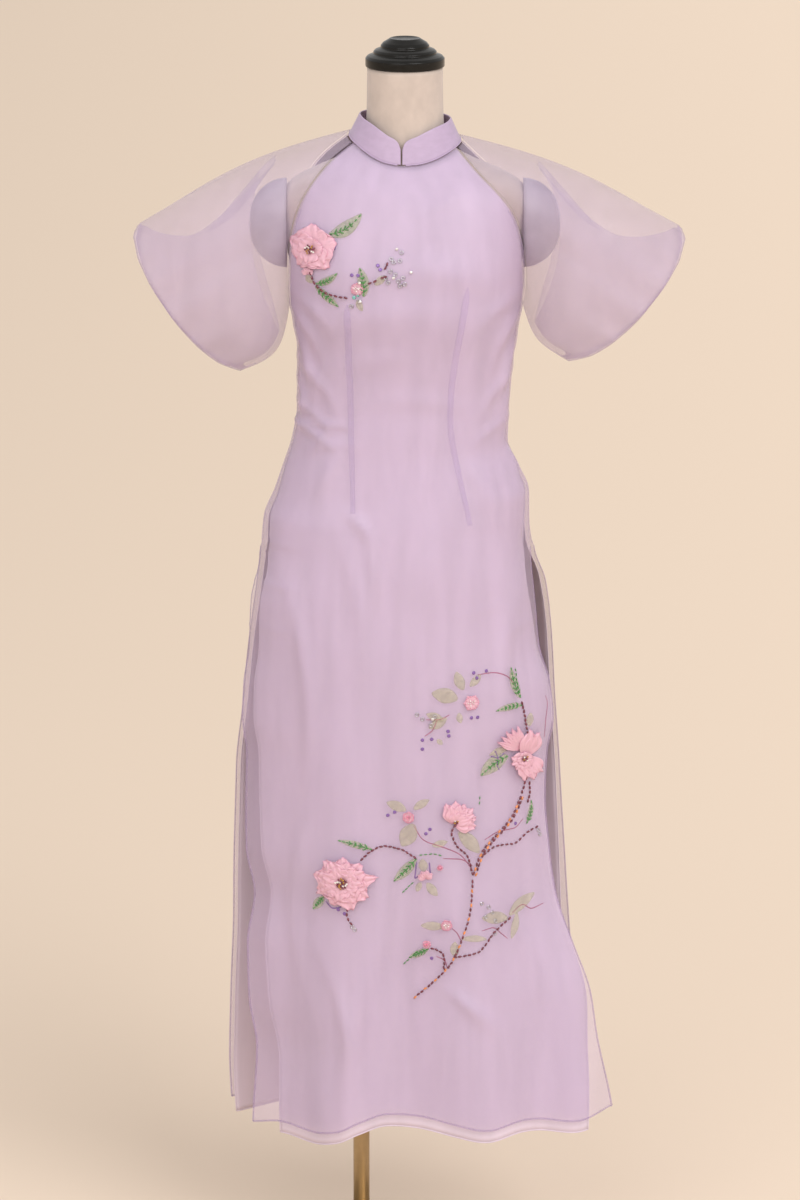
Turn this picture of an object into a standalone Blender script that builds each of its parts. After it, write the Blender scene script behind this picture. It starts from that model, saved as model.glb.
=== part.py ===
"""Long tunic with a stand collar and puff sleeves, worn by a limbless dress form on a pole stand.

The tunic's cloth is a set of thin walls, one for each cut piece. Every wall is a grid of points read
from a surface that is worked out from horizontal sections, and a Solidify modifier gives it its
thickness. Metres, +Z up, front towards -Y, the floor at Z = 0.
"""

import math

import bpy
import numpy as np

# ---- sizes of the cloth -------------------------------------------------------------------------
CLOTH = 0.0010  # wall of organza and of lining
COLLAR_CLOTH = 0.0020  # two plies and interfacing
SEAM = 0.0007  # half of the gap at a side seam
CENTRE = -0.0056  # the form's middle, from the middle of the sleeve span
UNDERARM = 1.290  # height of the underarm points
HEM = 0.200  # mean height of the hems
LINING_INSET = 0.0022  # lining under organza in the bodice
LINING_HANG = 0.0075  # and at the hem, where both hang free
LINING_DROP = 0.019  # how far the lining shows below the organza
LINING_NECK_DROP = 0.0088  # lining's neckline below the organza's
HANG_TOP = 0.95  # the linings start to hang free here, and do so fully HANG_RISE lower
HANG_RISE = 0.35
HEM_RISE = 0.30  # the hem's own curve fades out this far up the panel
YOKE_BEND = 2.5  # how late the yoke's rows bend to the neckline, and its depth settles there
YOKE_SETTLE = 4
PANEL_ACROSS = 16  # faces across a panel, across a lining, up the skirt and up the yoke
LINING_ACROSS = 12
SKIRT_ROWS = 18
YOKE_ROWS = 8

# Sections of the tunic's front half: the sides, the depth at the sides and in the middle, and how
# soft the sides are, from WRAPPED where the cloth goes round a body to HANGING where it is free.
WRAPPED = 0.43
HANGING = 1.05
EVEN_SHARE = 0.7  # how evenly a hanging row's points are spaced; a wrapped row's crowd to its sides
SECTION_COLUMNS = ("z", "left", "right", "edge", "middle", "softness")
FRONT_SECTIONS = (
    (0.180, -0.208, 0.272, 0.046, 0.124, 1.05),
    (0.220, -0.206, 0.265, 0.045, 0.124, 1.05),
    (0.300, -0.201, 0.249, 0.043, 0.123, 1.05),
    (0.370, -0.211, 0.239, 0.042, 0.122, 1.05),
    (0.440, -0.212, 0.215, 0.041, 0.121, 1.03),
    (0.510, -0.202, 0.192, 0.040, 0.121, 1.00),
    (0.570, -0.212, 0.183, 0.039, 0.121, 0.98),
    (0.640, -0.213, 0.177, 0.037, 0.120, 0.95),
    (0.700, -0.212, 0.179, 0.035, 0.120, 0.92),
    (0.745, -0.217, 0.187, 0.032, 0.119, 0.86),
    (0.790, -0.2155, 0.183, 0.028, 0.118, 0.78),
    (0.840, -0.208, 0.169, 0.022, 0.117, 0.66),
    (0.900, -0.205, 0.163, 0.012, 0.114, 0.54),
    (0.950, -0.194, 0.158, 0.003, 0.112, 0.46),
    (1.005, -0.190, 0.1565, 0.0, 0.108, WRAPPED),
    (1.040, -0.1765, 0.1560, 0.0, 0.104, WRAPPED),
    (1.070, -0.1660, 0.1440, 0.0, 0.101, WRAPPED),
    (1.112, -0.1520, 0.1275, 0.0, 0.098, WRAPPED),
    (1.155, -0.1453, 0.1290, 0.0, 0.098, WRAPPED),
    (1.228, -0.1447, 0.1350, 0.0, 0.107, WRAPPED),
    (1.290, -0.1535, 0.1455, 0.0, 0.121, WRAPPED),
    (1.340, -0.1620, 0.1530, 0.0, 0.123, WRAPPED),
    (1.390, -0.1690, 0.1580, 0.0, 0.111, WRAPPED),
    (1.430, -0.1700, 0.1590, 0.0, 0.096, WRAPPED),
    (1.460, -0.1600, 0.1480, 0.0, 0.079, WRAPPED),
    (1.481, -0.1330, 0.1200, 0.0, 0.061, WRAPPED),
    (1.505, -0.0960, 0.0860, 0.0, 0.036, WRAPPED),
    (1.525, -0.0820, 0.0700, 0.0, 0.030, WRAPPED),
)
BACK_SECTIONS = (
    (0.180, -0.237, 0.230, 0.060, 0.135, 1.10),
    (0.260, -0.240, 0.226, 0.058, 0.134, 1.10),
    (0.330, -0.238, 0.221, 0.056, 0.134, 1.10),
    (0.450, -0.233, 0.212, 0.053, 0.133, 1.08),
    (0.530, -0.2316, 0.2062, 0.050, 0.133, 1.05),
    (0.660, -0.228, 0.1985, 0.044, 0.133, 1.00),
    (0.740, -0.219, 0.193, 0.036, 0.133, 0.92),
    (0.810, -0.212, 0.1885, 0.026, 0.132, 0.82),
    (0.874, -0.204, 0.183, 0.015, 0.131, 0.68),
    (0.920, -0.198, 0.177, 0.008, 0.129, 0.54),
    (0.960, -0.193, 0.163, 0.002, 0.126, 0.45),
    (1.005, -0.190, 0.1565, 0.0, 0.121, WRAPPED),
    (1.040, -0.1765, 0.1560, 0.0, 0.113, WRAPPED),
    (1.070, -0.1660, 0.1440, 0.0, 0.104, WRAPPED),
    (1.112, -0.1520, 0.1275, 0.0, 0.091, WRAPPED),
    (1.155, -0.1453, 0.1290, 0.0, 0.085, WRAPPED),
    (1.228, -0.1447, 0.1350, 0.0, 0.088, WRAPPED),
    (1.290, -0.1535, 0.1455, 0.0, 0.095, WRAPPED),
    (1.340, -0.1620, 0.1530, 0.0, 0.098, WRAPPED),
    (1.390, -0.1690, 0.1580, 0.0, 0.097, WRAPPED),
    (1.430, -0.1700, 0.1590, 0.0, 0.092, WRAPPED),
    (1.460, -0.1600, 0.1480, 0.0, 0.083, WRAPPED),
    (1.481, -0.1330, 0.1200, 0.0, 0.074, WRAPPED),
    (1.505, -0.0960, 0.0860, 0.0, 0.060, WRAPPED),
    (1.525, -0.0820, 0.0700, 0.0, 0.045, WRAPPED),
)
SECTION_POWER = 2.3  # a section is |x|^2.3 + |y|^2.3 = 1 where it wraps the body

# Long folds of the hanging panels: where each starts and reaches the hem, where it fades out above,
# its half width, and how far it stands out at the hem (less than 0 goes in).
FOLD_COLUMNS = ("x_top", "x_hem", "z_top", "width", "depth")
FRONT_FOLDS = (
    (-0.075, -0.0975, 0.95, 0.045, 0.013),
    (0.060, 0.095, 0.90, 0.045, 0.012),
    (-0.015, -0.012, 0.95, 0.040, -0.012),
    (-0.150, -0.165, 0.95, 0.030, -0.010),
    (0.145, 0.175, 0.80, 0.030, -0.010),
    (0.185, 0.235, 0.60, 0.026, 0.008),
)
BACK_FOLDS = (
    (-0.090, -0.125, 0.92, 0.042, 0.010),
    (0.080, 0.120, 0.90, 0.045, 0.010),
    (0.010, 0.020, 0.95, 0.050, -0.012),
    (-0.040, -0.050, 0.70, 0.030, 0.008),
    (0.150, 0.185, 0.80, 0.030, -0.009),
)

# Height of the front organza's hem across its width.
HEM_COLUMNS = ("x", "z")
FRONT_HEM = (
    (-0.209, 0.193),
    (-0.168, 0.199),
    (-0.125, 0.197),
    (-0.097, 0.202),
    (-0.067, 0.2155),
    (-0.030, 0.226),
    (0.013, 0.2247),
    (0.063, 0.2157),
    (0.106, 0.2084),
    (0.147, 0.2144),
    (0.220, 0.2054),
    (0.267, 0.2160),
)
BACK_HEM = (
    (-0.237, 0.1932),
    (-0.150, 0.198),
    (-0.050, 0.206),
    (0.050, 0.209),
    (0.150, 0.203),
    (0.230, 0.196),
)

# How far the lining's free edges lie inside the organza's.
LINING_EDGE_COLUMNS = ("z", "front_left", "front_right", "back_left", "back_right")
LINING_EDGES = (
    (0.180, 0.038, 0.036, 0.010, 0.014),
    (0.300, 0.030, 0.020, 0.009, 0.014),
    (0.440, 0.024, 0.012, 0.009, 0.011),
    (0.700, 0.016, 0.008, 0.008, 0.008),
    (0.900, 0.011, 0.008, 0.008, 0.008),
    (1.000, 0.0022, 0.0022, 0.0022, 0.0022),
    (1.550, 0.0022, 0.0022, 0.0022, 0.0022),
)

# The raglan seam, from the underarm (0) to the neck (1).
RAGLAN_COLUMNS = ("share", "left_x", "left_z", "right_x", "right_z")
RAGLAN = (
    (0.00, -0.1535, 1.290, 0.1455, 1.290),
    (0.15, -0.1553, 1.320, 0.1490, 1.323),
    (0.32, -0.1550, 1.357, 0.1475, 1.362),
    (0.50, -0.1505, 1.395, 0.1410, 1.397),
    (0.66, -0.1415, 1.427, 0.1290, 1.425),
    (0.80, -0.1265, 1.454, 0.1090, 1.449),
    (0.91, -0.1010, 1.483, 0.0860, 1.471),
    (1.00, -0.0722, 1.5045, 0.0595, 1.4985),
)

# The collar, by the angle from the middle of the front. Both its edges are ellipses seen from above.
NECK_COLUMNS = ("angle", "base", "top")
NECK = (
    (0.0, 1.4810, 1.4975),
    (4.0, 1.4812, 1.5085),
    (9.0, 1.4820, 1.5130),
    (18.0, 1.4835, 1.5170),
    (31.0, 1.4880, 1.5235),
    (45.0, 1.4945, 1.5290),
    (61.0, 1.5015, 1.5325),
    (90.0, 1.5085, 1.5362),
    (130.0, 1.5145, 1.5364),
    (180.0, 1.5180, 1.5355),
)
NECK_BASE_HALF = (0.0715, 0.0580)  # half width and half depth of the neckline
NECK_TOP_HALF = (0.0588, 0.0530)
NECK_MIDDLE_Y = -0.0030
NECK_TILT = 0.05  # the left side of the neckline is this much higher per metre
SLIT_HALF_DEG = 0.8  # half of the collar's front slit
SLIT_X = -0.0045  # the slit is this far from the middle
FRONT_NECK_DEG = 66.0  # where the raglan seams meet the neckline, in front and behind
BACK_NECK_DEG = 115.0
COLLAR_COLUMNS = 36
COLLAR_CROWD = 0.45  # how far the collar's points crowd to its front ends
COLLAR_ROWS = 2

# The puff sleeves, seen from the front: the outer end of the hem, its lower end, half the depth of
# the hem, and how far the hem bows out past the line between its ends.
SLEEVE_COLUMNS = ("tip_x", "tip_z", "low_x", "low_z", "depth", "bow", "top_puff", "low_puff")
SLEEVES = {
    "left": (-0.3447, 1.3955, -0.2110, 1.2075, 0.088, 0.040, 0.013, 0.020),
    "right": (0.3455, 1.3926, 0.1985, 1.2215, 0.088, 0.042, 0.013, 0.012),
}
SLEEVE_SIDE_PUFF = 0.028
HEM_TILT = 0.25  # how much lower the sleeve's hem is behind than in front, per metre of depth
SLEEVE_ROWS = 8
SLEEVE_START = 0.006  # share of the sleeve's length left open at the seam
ARMHOLE_GAP = 0.0013  # sleeve cloth to panel cloth at the raglan seam
INNER_ROWS = 6
INNER_START = 0.995  # the inner ply starts at this share of the sleeve's length
INNER_REACH = 0.66  # share of the sleeve's length that the inner ply goes back up
INNER_GAP = 0.0050  # inner ply inside the outer one at the hem
INNER_SAG = 0.050  # how far the top of the inner ply falls in
INNER_SAG_POWER = 0.75
INNER_TUCK = 0.004  # and how far its other sides do

# Appliqué flowers: where each lies on the front, its half width and half height, its height above
# the cloth, how many petals and the turn of the first.
FLOWER_COLUMNS = ("name", "x", "z", "half_width", "half_height", "rise", "petals", "turn")
FLOWERS = (
    ("chest_flower", -0.1180, 1.3800, 0.027, 0.033, 0.014, 6, 0.3),
    ("skirt_flower_large", -0.0863, 0.5486, 0.041, 0.036, 0.016, 7, 0.1),
    ("skirt_flower_side", 0.1420, 0.7050, 0.030, 0.042, 0.014, 6, 0.9),
    ("skirt_flower_half_open", 0.0665, 0.6365, 0.024, 0.020, 0.011, 5, 1.4),
)
FLOWER_CLEAR = 0.0030  # back of a flower to the cloth under it
FLOWER_HEART = 0.15  # first ring as a share of the flower, its thickness at the rim and its lobes
FLOWER_RIM = 0.3
FLOWER_LOBE = 0.10
FLOWER_RINGS = 4
FLOWER_SIDES = 20

# ---- sizes of the dress form and its stand ------------------------------------------------------
FORM_EASE = 0.0085  # form inside the tunic
FORM_BOTTOM = 0.840
FORM_SIDES = 48
FORM_SHOULDER_FACE = 0.152  # half the width between the flat faces where arms would join
FORM_HIP = 0.985  # the form narrows below this height
FORM_TUCK = 0.10
# Heights of the form's rings below its shoulders, and of the one in its neck.
FORM_LEVELS = (*np.linspace(FORM_BOTTOM, 1.00, 5), *np.linspace(1.03, 1.39, 12))
NECK_LEVEL = 1.560
NECK_TOP = 1.5987
# Sections of the form's shoulders and neck, under the tunic's yoke.
SHOULDER_COLUMNS = ("z", "half_width", "front", "back")
SHOULDERS = (
    (1.420, 0.1600, 0.0910, 0.0840),
    (1.435, 0.1580, 0.0820, 0.0790),
    (1.450, 0.1480, 0.0720, 0.0720),
    (1.465, 0.1230, 0.0610, 0.0640),
    (1.480, 0.0880, 0.0500, 0.0560),
    (1.495, 0.0630, 0.0470, 0.0480),
    (1.510, 0.0525, 0.0480, 0.0430),
    (1.535, 0.0495, 0.0475, 0.0415),
    (1.600, 0.0485, 0.0485, 0.0485),
)
PLATE_HALF = (0.042, 0.056)  # half depth and half height of an arm plate
PLATE_CENTRE = 1.396
PLATE_OUT = 0.042
PLATE_TIP = 0.1  # a plate's last ring, as a share of its first
PLATE_SHARES = (0.0, 0.25, 0.55, 0.8, 0.95, 1.0)  # how far out its rings are
PLATE_SIDES = 28
CAP_SIDES = 32
# The cap's stepped profile, as radii and heights.
CAP_PROFILE = (
    (0.0500, 0.0000),
    (0.0509, 0.0012),
    (0.0509, 0.0110),
    (0.0482, 0.0140),
    (0.0415, 0.0165),
    (0.0407, 0.0172),
    (0.0407, 0.0195),
    (0.0382, 0.0220),
    (0.0320, 0.0243),
    (0.0312, 0.0250),
    (0.0312, 0.0275),
    (0.0282, 0.0312),
    (0.0205, 0.0358),
    (0.0195, 0.0368),
    (0.0185, 0.0370),
)
POLE_X = -0.0635
POLE_RADIUS = 0.0108
POLE_SIDES = 24
BASE_RADIUS = 0.150
BASE_HEIGHT = 0.012
BASE_EDGE = 0.003
BASE_SIDES = 64
BOSS_RADIUS = 0.0240
BOSS_HEIGHT = 0.030
BOSS_COLLAR = 0.003  # width of the boss outside the pole at its top
BOSS_WAIST = 0.3  # share of its height that is upright
GAP = 0.0003  # between pieces that touch

ORGANZA = ("organza", "#D6BCCE", 0.45, 0.0)
LINING = ("lining", "#D9BFD0", 0.60, 0.0)
COLLAR_SATIN = ("collar cloth", "#D3BAD1", 0.50, 0.0)
PETAL = ("petal organza", "#F0AFC0", 0.50, 0.0)
FORM_CLOTH = ("form cover", "#D9C3B4", 0.85, 0.0)
CAP_BLACK = ("cap lacquer", "#1E1D1A", 0.25, 0.0)
PLATE_GREY = ("arm plate", "#8E93A8", 0.60, 0.0)
BRASS = ("stand metal", "#A8875A", 0.35, 1.0)


# ---- reading tables -----------------------------------------------------------------------------
def read(table, columns, name, at):
    """A column of a table at any value of its first column, as a smooth curve that never overshoots."""
    values = np.array(table, float)
    x = values[:, 0]
    y = values[:, columns.index(name)]
    step = np.diff(x)
    rise = np.diff(y) / step
    slope = np.zeros(len(x))
    same = rise[:-1] * rise[1:] > 0
    before = 2 * step[1:] + step[:-1]
    after = step[1:] + 2 * step[:-1]
    with np.errstate(divide="ignore", invalid="ignore"):
        mean = (before + after) / (before / rise[:-1] + after / rise[1:])
    slope[1:-1] = np.where(same, mean, 0.0)
    slope[0], slope[-1] = rise[0], rise[-1]
    at = np.clip(np.asarray(at, float), x[0], x[-1])
    i = np.clip(np.searchsorted(x, at, side="right") - 1, 0, len(x) - 2)
    t = (at - x[i]) / step[i]
    start = (1 + 2 * t) * (1 - t) ** 2 * y[i] + t * (1 - t) ** 2 * step[i] * slope[i]
    end = t * t * (3 - 2 * t) * y[i + 1] + t * t * (t - 1) * step[i] * slope[i + 1]
    return start + end


def smoothstep(t):
    t = np.clip(t, 0.0, 1.0)
    return t * t * (3 - 2 * t)


# ---- the tunic's surfaces -----------------------------------------------------------------------
def lining_inset(z):
    """How far the lining lies inside the organza: sewn close above the slits, and free at the hem."""
    return LINING_INSET + (LINING_HANG - LINING_INSET) * smoothstep((HANG_TOP - z) / HANG_RISE)


def fold_depth(folds, x, z):
    """The sum of the long folds at a point: each a soft ridge or trough that grows towards the hem."""
    total = np.zeros(np.broadcast(x, z).shape)
    for x_top, x_hem, z_top, width, depth in folds:
        down = np.clip((z_top - z) / (z_top - HEM), 0.0, 1.0)
        line = x_top + (x_hem - x_top) * down
        total = total + depth * smoothstep(down) * np.exp(-(((x - line) / width) ** 2))
    return total


def cloth_y(side, x, z, inset):
    """Y of the tunic at x and z. side is -1 in front and 1 behind, and inset moves the surface inwards.

    Across a section the depth goes from its edge value to its middle value as (1 - |u|^2.3)^softness,
    where u runs from -1 at the left side to 1 at the right.
    """
    sections, folds = (FRONT_SECTIONS, FRONT_FOLDS) if side < 0 else (BACK_SECTIONS, BACK_FOLDS)
    left = read(sections, SECTION_COLUMNS, "left", z) + inset
    right = read(sections, SECTION_COLUMNS, "right", z) - inset
    edge = read(sections, SECTION_COLUMNS, "edge", z)
    middle = read(sections, SECTION_COLUMNS, "middle", z) - inset
    softness = read(sections, SECTION_COLUMNS, "softness", z)
    u = np.clip(np.abs((2 * x - left - right) / (right - left)), 0.0, 1.0)
    depth = edge + (middle - edge) * (1 - u**SECTION_POWER) ** softness
    free = np.where(edge > 0, inset, 0.0)
    depth = np.maximum(depth + fold_depth(folds, x, z) - free * u, 0.0)
    return side * (SEAM + depth)


def neck_point(degrees, which):
    """A point of the neckline or of the collar's top edge, at an angle from the middle of the front."""
    half_width, half_depth = NECK_BASE_HALF if which == "base" else NECK_TOP_HALF
    turn = np.radians(degrees)
    x = CENTRE - half_width * np.sin(turn)
    y = NECK_MIDDLE_Y - half_depth * np.cos(turn)
    x = x + SLIT_X * np.clip(np.cos(turn), 0.0, 1.0) ** 4
    turned = np.abs((np.asarray(degrees, float) + 180.0) % 360.0 - 180.0)
    z = read(NECK, NECK_COLUMNS, which, turned) - NECK_TILT * (x - CENTRE)
    return np.stack([x, y, z], axis=-1)


def column_places(columns, softness):
    """Places of a row's points from -1 to 1, closer together at the sides where the cloth turns away."""
    even = np.linspace(-1.0, 1.0, columns + 1)
    close = np.sin(even * math.pi / 2)
    share = EVEN_SHARE * np.clip((softness - WRAPPED) / (HANGING - WRAPPED), 0.0, 1.0)[:, None]
    return (1 - share) * close + share * even


def skirt_points(side, columns, lining):
    """Rows of a panel from its hem up to the underarm."""
    sections = FRONT_SECTIONS if side < 0 else BACK_SECTIONS
    hem = FRONT_HEM if side < 0 else BACK_HEM
    level = np.linspace(HEM, UNDERARM, SKIRT_ROWS + 1)
    left = read(sections, SECTION_COLUMNS, "left", level)
    right = read(sections, SECTION_COLUMNS, "right", level)
    inset = lining_inset(level) if lining else np.zeros(len(level))
    if lining:
        name = "front" if side < 0 else "back"
        left = left + read(LINING_EDGES, LINING_EDGE_COLUMNS, name + "_left", level)
        right = right - read(LINING_EDGES, LINING_EDGE_COLUMNS, name + "_right", level)
    place = column_places(columns, read(sections, SECTION_COLUMNS, "softness", level))
    x = (left + (right - left) * (place.T + 1) / 2).T
    fade = smoothstep(1 - (level - HEM) / HEM_RISE)[:, None]
    drop = LINING_DROP if lining else 0.0
    z = level[:, None] + (read(hem, HEM_COLUMNS, "z", x) - HEM - drop) * fade
    return np.stack([x, cloth_y(side, x, z, inset[:, None]), z], axis=-1)


def yoke_points(side, columns, lining):
    """Rows of a panel above the underarm, between the raglan seams, up to the neckline."""
    share = np.linspace(0.0, 1.0, YOKE_ROWS + 1)[1:]
    place = column_places(columns, np.full(len(share), WRAPPED))
    inset = LINING_INSET if lining else 0.0
    neck_deg = FRONT_NECK_DEG if side < 0 else BACK_NECK_DEG
    edge = {name: read(RAGLAN, RAGLAN_COLUMNS, name, share) for name in RAGLAN_COLUMNS[1:]}
    trim = 2 * inset * smoothstep(share / 0.3)
    left, right = edge["left_x"] + inset + trim, edge["right_x"] - inset - trim
    across = (place + 1) / 2
    x = left[:, None] + (right - left)[:, None] * across
    z = edge["left_z"][:, None] + (edge["right_z"] - edge["left_z"])[:, None] * across
    if side < 0:
        angles = neck_deg * -place[-1]
    else:
        angles = 180.0 + (180.0 - neck_deg) * place[-1]
    neckline = neck_point(angles, "base")
    neckline[:, 2] -= LINING_NECK_DROP if lining else CLOTH
    bend = share[:, None] ** YOKE_BEND
    x = x + (neckline[:, 0] - x[-1]) * bend
    z = z + (neckline[:, 2] - z[-1]) * bend
    y = cloth_y(side, x, z, inset)
    y = y + (neckline[:, 1] + side * inset - y[-1]) * share[:, None] ** YOKE_SETTLE
    return np.stack([x, y, z], axis=-1)


def panel_points(side, columns, lining=False):
    """The whole panel, hem to neckline, with its columns running so that its face is outside."""
    points = np.concatenate(
        [skirt_points(side, columns, lining), yoke_points(side, columns, lining)]
    )
    return points if side < 0 else points[:, ::-1]


# ---- sleeves ------------------------------------------------------------------------------------
def armhole_loop(which):
    """The raglan seam as a closed loop: down the front from the neck, and up the back."""
    front = yoke_points(-1, PANEL_ACROSS, False)
    back = yoke_points(1, PANEL_ACROSS, False)
    column = 0 if which == "left" else -1
    underarm = skirt_points(-1, PANEL_ACROSS, False)[-1, column] * (1, 0, 1)
    sign = 1.0 if which == "left" else -1.0
    arc = neck_point(sign * np.array([(FRONT_NECK_DEG + BACK_NECK_DEG) / 2]), "base")
    arc[:, 2] -= CLOTH
    loop = np.concatenate([arc, front[::-1, column], [underarm], back[:, column]])
    return loop - (sign * ARMHOLE_GAP, 0.0, 0.0)


def sleeve_grid(which, shares):
    """Outer face of a sleeve: rings that go from the armhole to the hem, swelling on the way.

    The hem is an ellipse across the line between its two ends, bowed outwards by |sin| of the
    angle, and the swell is the sine of the share of the length.
    """
    row = dict(zip(SLEEVE_COLUMNS, SLEEVES[which]))
    loop = armhole_loop(which)
    lengths = np.linalg.norm(np.diff(np.concatenate([loop, loop[:1]]), axis=0), axis=1)
    travel = np.concatenate([[0.0], np.cumsum(lengths)[:-1]])
    middle = YOKE_ROWS + 1
    angle = np.where(
        np.arange(len(loop)) <= middle,
        math.pi * travel / travel[middle],
        math.pi + math.pi * (travel - travel[middle]) / (lengths.sum() - travel[middle]),
    )
    tip = np.array([row["tip_x"], 0.0, row["tip_z"]])
    low = np.array([row["low_x"], 0.0, row["low_z"]])
    half = (tip - low) / 2
    along = half / np.linalg.norm(half)
    out = np.array([along[2], 0.0, -along[0]]) * (-1.0 if which == "left" else 1.0)
    front = np.array([0.0, -1.0, 0.0])
    cos, sin = np.cos(angle)[:, None], np.sin(angle)[:, None]
    hem = (tip + low) / 2 + half * cos + row["depth"] * front * sin + row["bow"] * out * np.abs(sin)
    hem[:, 2] -= HEM_TILT * hem[:, 1]
    radial = along * cos + front * sin
    ends = np.where(cos > 0, row["top_puff"], row["low_puff"]) * np.abs(cos)
    puff = ends + SLEEVE_SIDE_PUFF * np.abs(sin)
    shares = np.asarray(shares)[:, None, None]
    swell = np.sin(math.pi * shares) * puff * radial
    return loop * (1 - shares) + hem * shares + swell, radial, cos


def sleeve_points(which):
    points, _, _ = sleeve_grid(which, np.linspace(SLEEVE_START, 1.0, SLEEVE_ROWS + 1))
    return points


def inner_points(which):
    """Inner ply of the sleeve: back up inside the outer ply from the hem, its top fallen in."""
    back = np.linspace(0.0, 1.0, INNER_ROWS + 1)
    outer, radial, cos = sleeve_grid(which, INNER_START - INNER_REACH * back)
    back = back[:, None, None]
    sag = INNER_SAG * np.sin(math.pi * back**INNER_SAG_POWER) * np.clip(cos, 0.0, 1.0)
    tuck = INNER_TUCK * np.sin(math.pi * back / 2) * (1 - np.clip(cos, 0.0, 1.0))
    return outer - radial * (INNER_GAP + sag + tuck)


# ---- making objects -----------------------------------------------------------------------------
def material(finish):
    """A plain Principled material from its name, sRGB colour, roughness and metallic value."""
    name, colour, roughness, metallic = finish
    made = bpy.data.materials.get(name)
    if made:
        return made
    made = bpy.data.materials.new(name)
    made.use_nodes = True
    shader = made.node_tree.nodes["Principled BSDF"]
    srgb = [int(colour[i : i + 2], 16) / 255 for i in (1, 3, 5)]
    linear = [c / 12.92 if c <= 0.04045 else ((c + 0.055) / 1.055) ** 2.4 for c in srgb]
    shader.inputs["Base Color"].default_value = (*linear, 1.0)
    shader.inputs["Roughness"].default_value = roughness
    shader.inputs["Metallic"].default_value = metallic
    made.diffuse_color = (*linear, 1.0)
    return made


def add_object(name, points, faces, finish):
    mesh = bpy.data.meshes.new(name)
    mesh.from_pydata(np.asarray(points).reshape(-1, 3).tolist(), [], faces)
    mesh.materials.append(material(finish))
    mesh.shade_smooth()
    made = bpy.data.objects.new(name, mesh)
    bpy.context.scene.collection.objects.link(made)
    return made


def grid_faces(rows, columns, closed, flip=False):
    """Quads of a grid of points, joined round where the columns close on themselves."""
    faces = []
    for i in range(rows - 1):
        for j in range(columns if closed else columns - 1):
            k = (j + 1) % columns
            quad = [i * columns + j, i * columns + k, (i + 1) * columns + k, (i + 1) * columns + j]
            faces.append(quad[::-1] if flip else quad)
    return faces


def cloth_wall(name, points, finish, thickness=CLOTH, closed=False, flip=False):
    """A wall of cloth: the grid is its outer face, and Solidify gives it its thickness inwards."""
    rows, columns = points.shape[:2]
    made = add_object(name, points, grid_faces(rows, columns, closed, flip), finish)
    wall = made.modifiers.new("wall", "SOLIDIFY")
    wall.thickness = thickness
    wall.offset = -1.0
    return made


def skinned_rings(name, rings, finish, sharp_deg=35.0):
    """A solid through rings of equal count, each counter-clockwise seen from the last, with flat ends."""
    rings = np.asarray(rings)
    count, sides = rings.shape[:2]
    faces = grid_faces(count, sides, True)
    faces.append(list(range(sides))[::-1])
    faces.append([(count - 1) * sides + j for j in range(sides)])
    made = add_object(name, rings, faces, finish)
    made.data.set_sharp_from_angle(angle=math.radians(sharp_deg))
    return made


def turned(name, profile, centre, sides, finish):
    """A turned solid: the profile's radii and heights carried round an upright axis."""
    turn = np.linspace(0.0, 2 * math.pi, sides, endpoint=False)
    circle = np.stack([np.cos(turn), np.sin(turn), np.zeros(sides)], axis=-1)
    rings = [circle * radius + (0.0, 0.0, height) for radius, height in profile]
    made = skinned_rings(name, rings, finish)
    made.location = centre
    return made


# ---- the pieces ---------------------------------------------------------------------------------
def add_panels():
    cloth_wall("front_panel", panel_points(-1, PANEL_ACROSS), ORGANZA)
    cloth_wall("back_panel", panel_points(1, PANEL_ACROSS), ORGANZA)
    cloth_wall("front_lining", panel_points(-1, LINING_ACROSS, lining=True), LINING)
    cloth_wall("back_lining", panel_points(1, LINING_ACROSS, lining=True), LINING)


def add_sleeves():
    for which in SLEEVES:
        turned_left = which == "left"
        cloth_wall("sleeve_" + which, sleeve_points(which), ORGANZA, closed=True, flip=not turned_left)
        cloth_wall(
            "sleeve_inner_" + which, inner_points(which), ORGANZA, closed=True, flip=turned_left
        )


def add_collar():
    """A band that stands up from the neckline, open at the front slit, with rounded front corners."""
    start, end = SLIT_HALF_DEG, 360.0 - SLIT_HALF_DEG
    even = np.linspace(-1.0, 1.0, COLLAR_COLUMNS + 1)
    spread = COLLAR_CROWD * np.sin(even * math.pi / 2) + (1 - COLLAR_CROWD) * even
    angles = (start + end) / 2 + (end - start) / 2 * spread
    base, top = neck_point(angles, "base"), neck_point(angles, "top")
    base[:, 2] += GAP
    rows = np.linspace(0.0, 1.0, COLLAR_ROWS + 1)[:, None, None]
    cloth_wall("collar", base * (1 - rows) + top * rows, COLLAR_SATIN, COLLAR_CLOTH, flip=True)


def add_flowers():
    """Flowers on the front: a low lobed dome whose back follows the cloth."""
    for row in FLOWERS:
        size = dict(zip(FLOWER_COLUMNS, row))
        turn = np.linspace(0.0, 2 * math.pi, FLOWER_SIDES, endpoint=False)
        lobes = 1 + FLOWER_LOBE * np.cos(size["petals"] * (turn - size["turn"]))
        out = np.linspace(FLOWER_HEART, 1.0, FLOWER_RINGS)
        back = [(share, 0.0) for share in out]
        face = [(share, 1 - (1 - FLOWER_RIM) * share**2) for share in out[::-1]]
        rings = []
        for share, lift in back + face:
            x = size["x"] + size["half_width"] * share * lobes * np.cos(turn)
            z = size["z"] + size["half_height"] * share * lobes * np.sin(turn)
            y = cloth_y(-1, x, z, 0.0) - FLOWER_CLEAR - lift * size["rise"]
            rings.append(np.stack([x, y, z], axis=-1))
        skinned_rings(size["name"], rings, PETAL)


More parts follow.
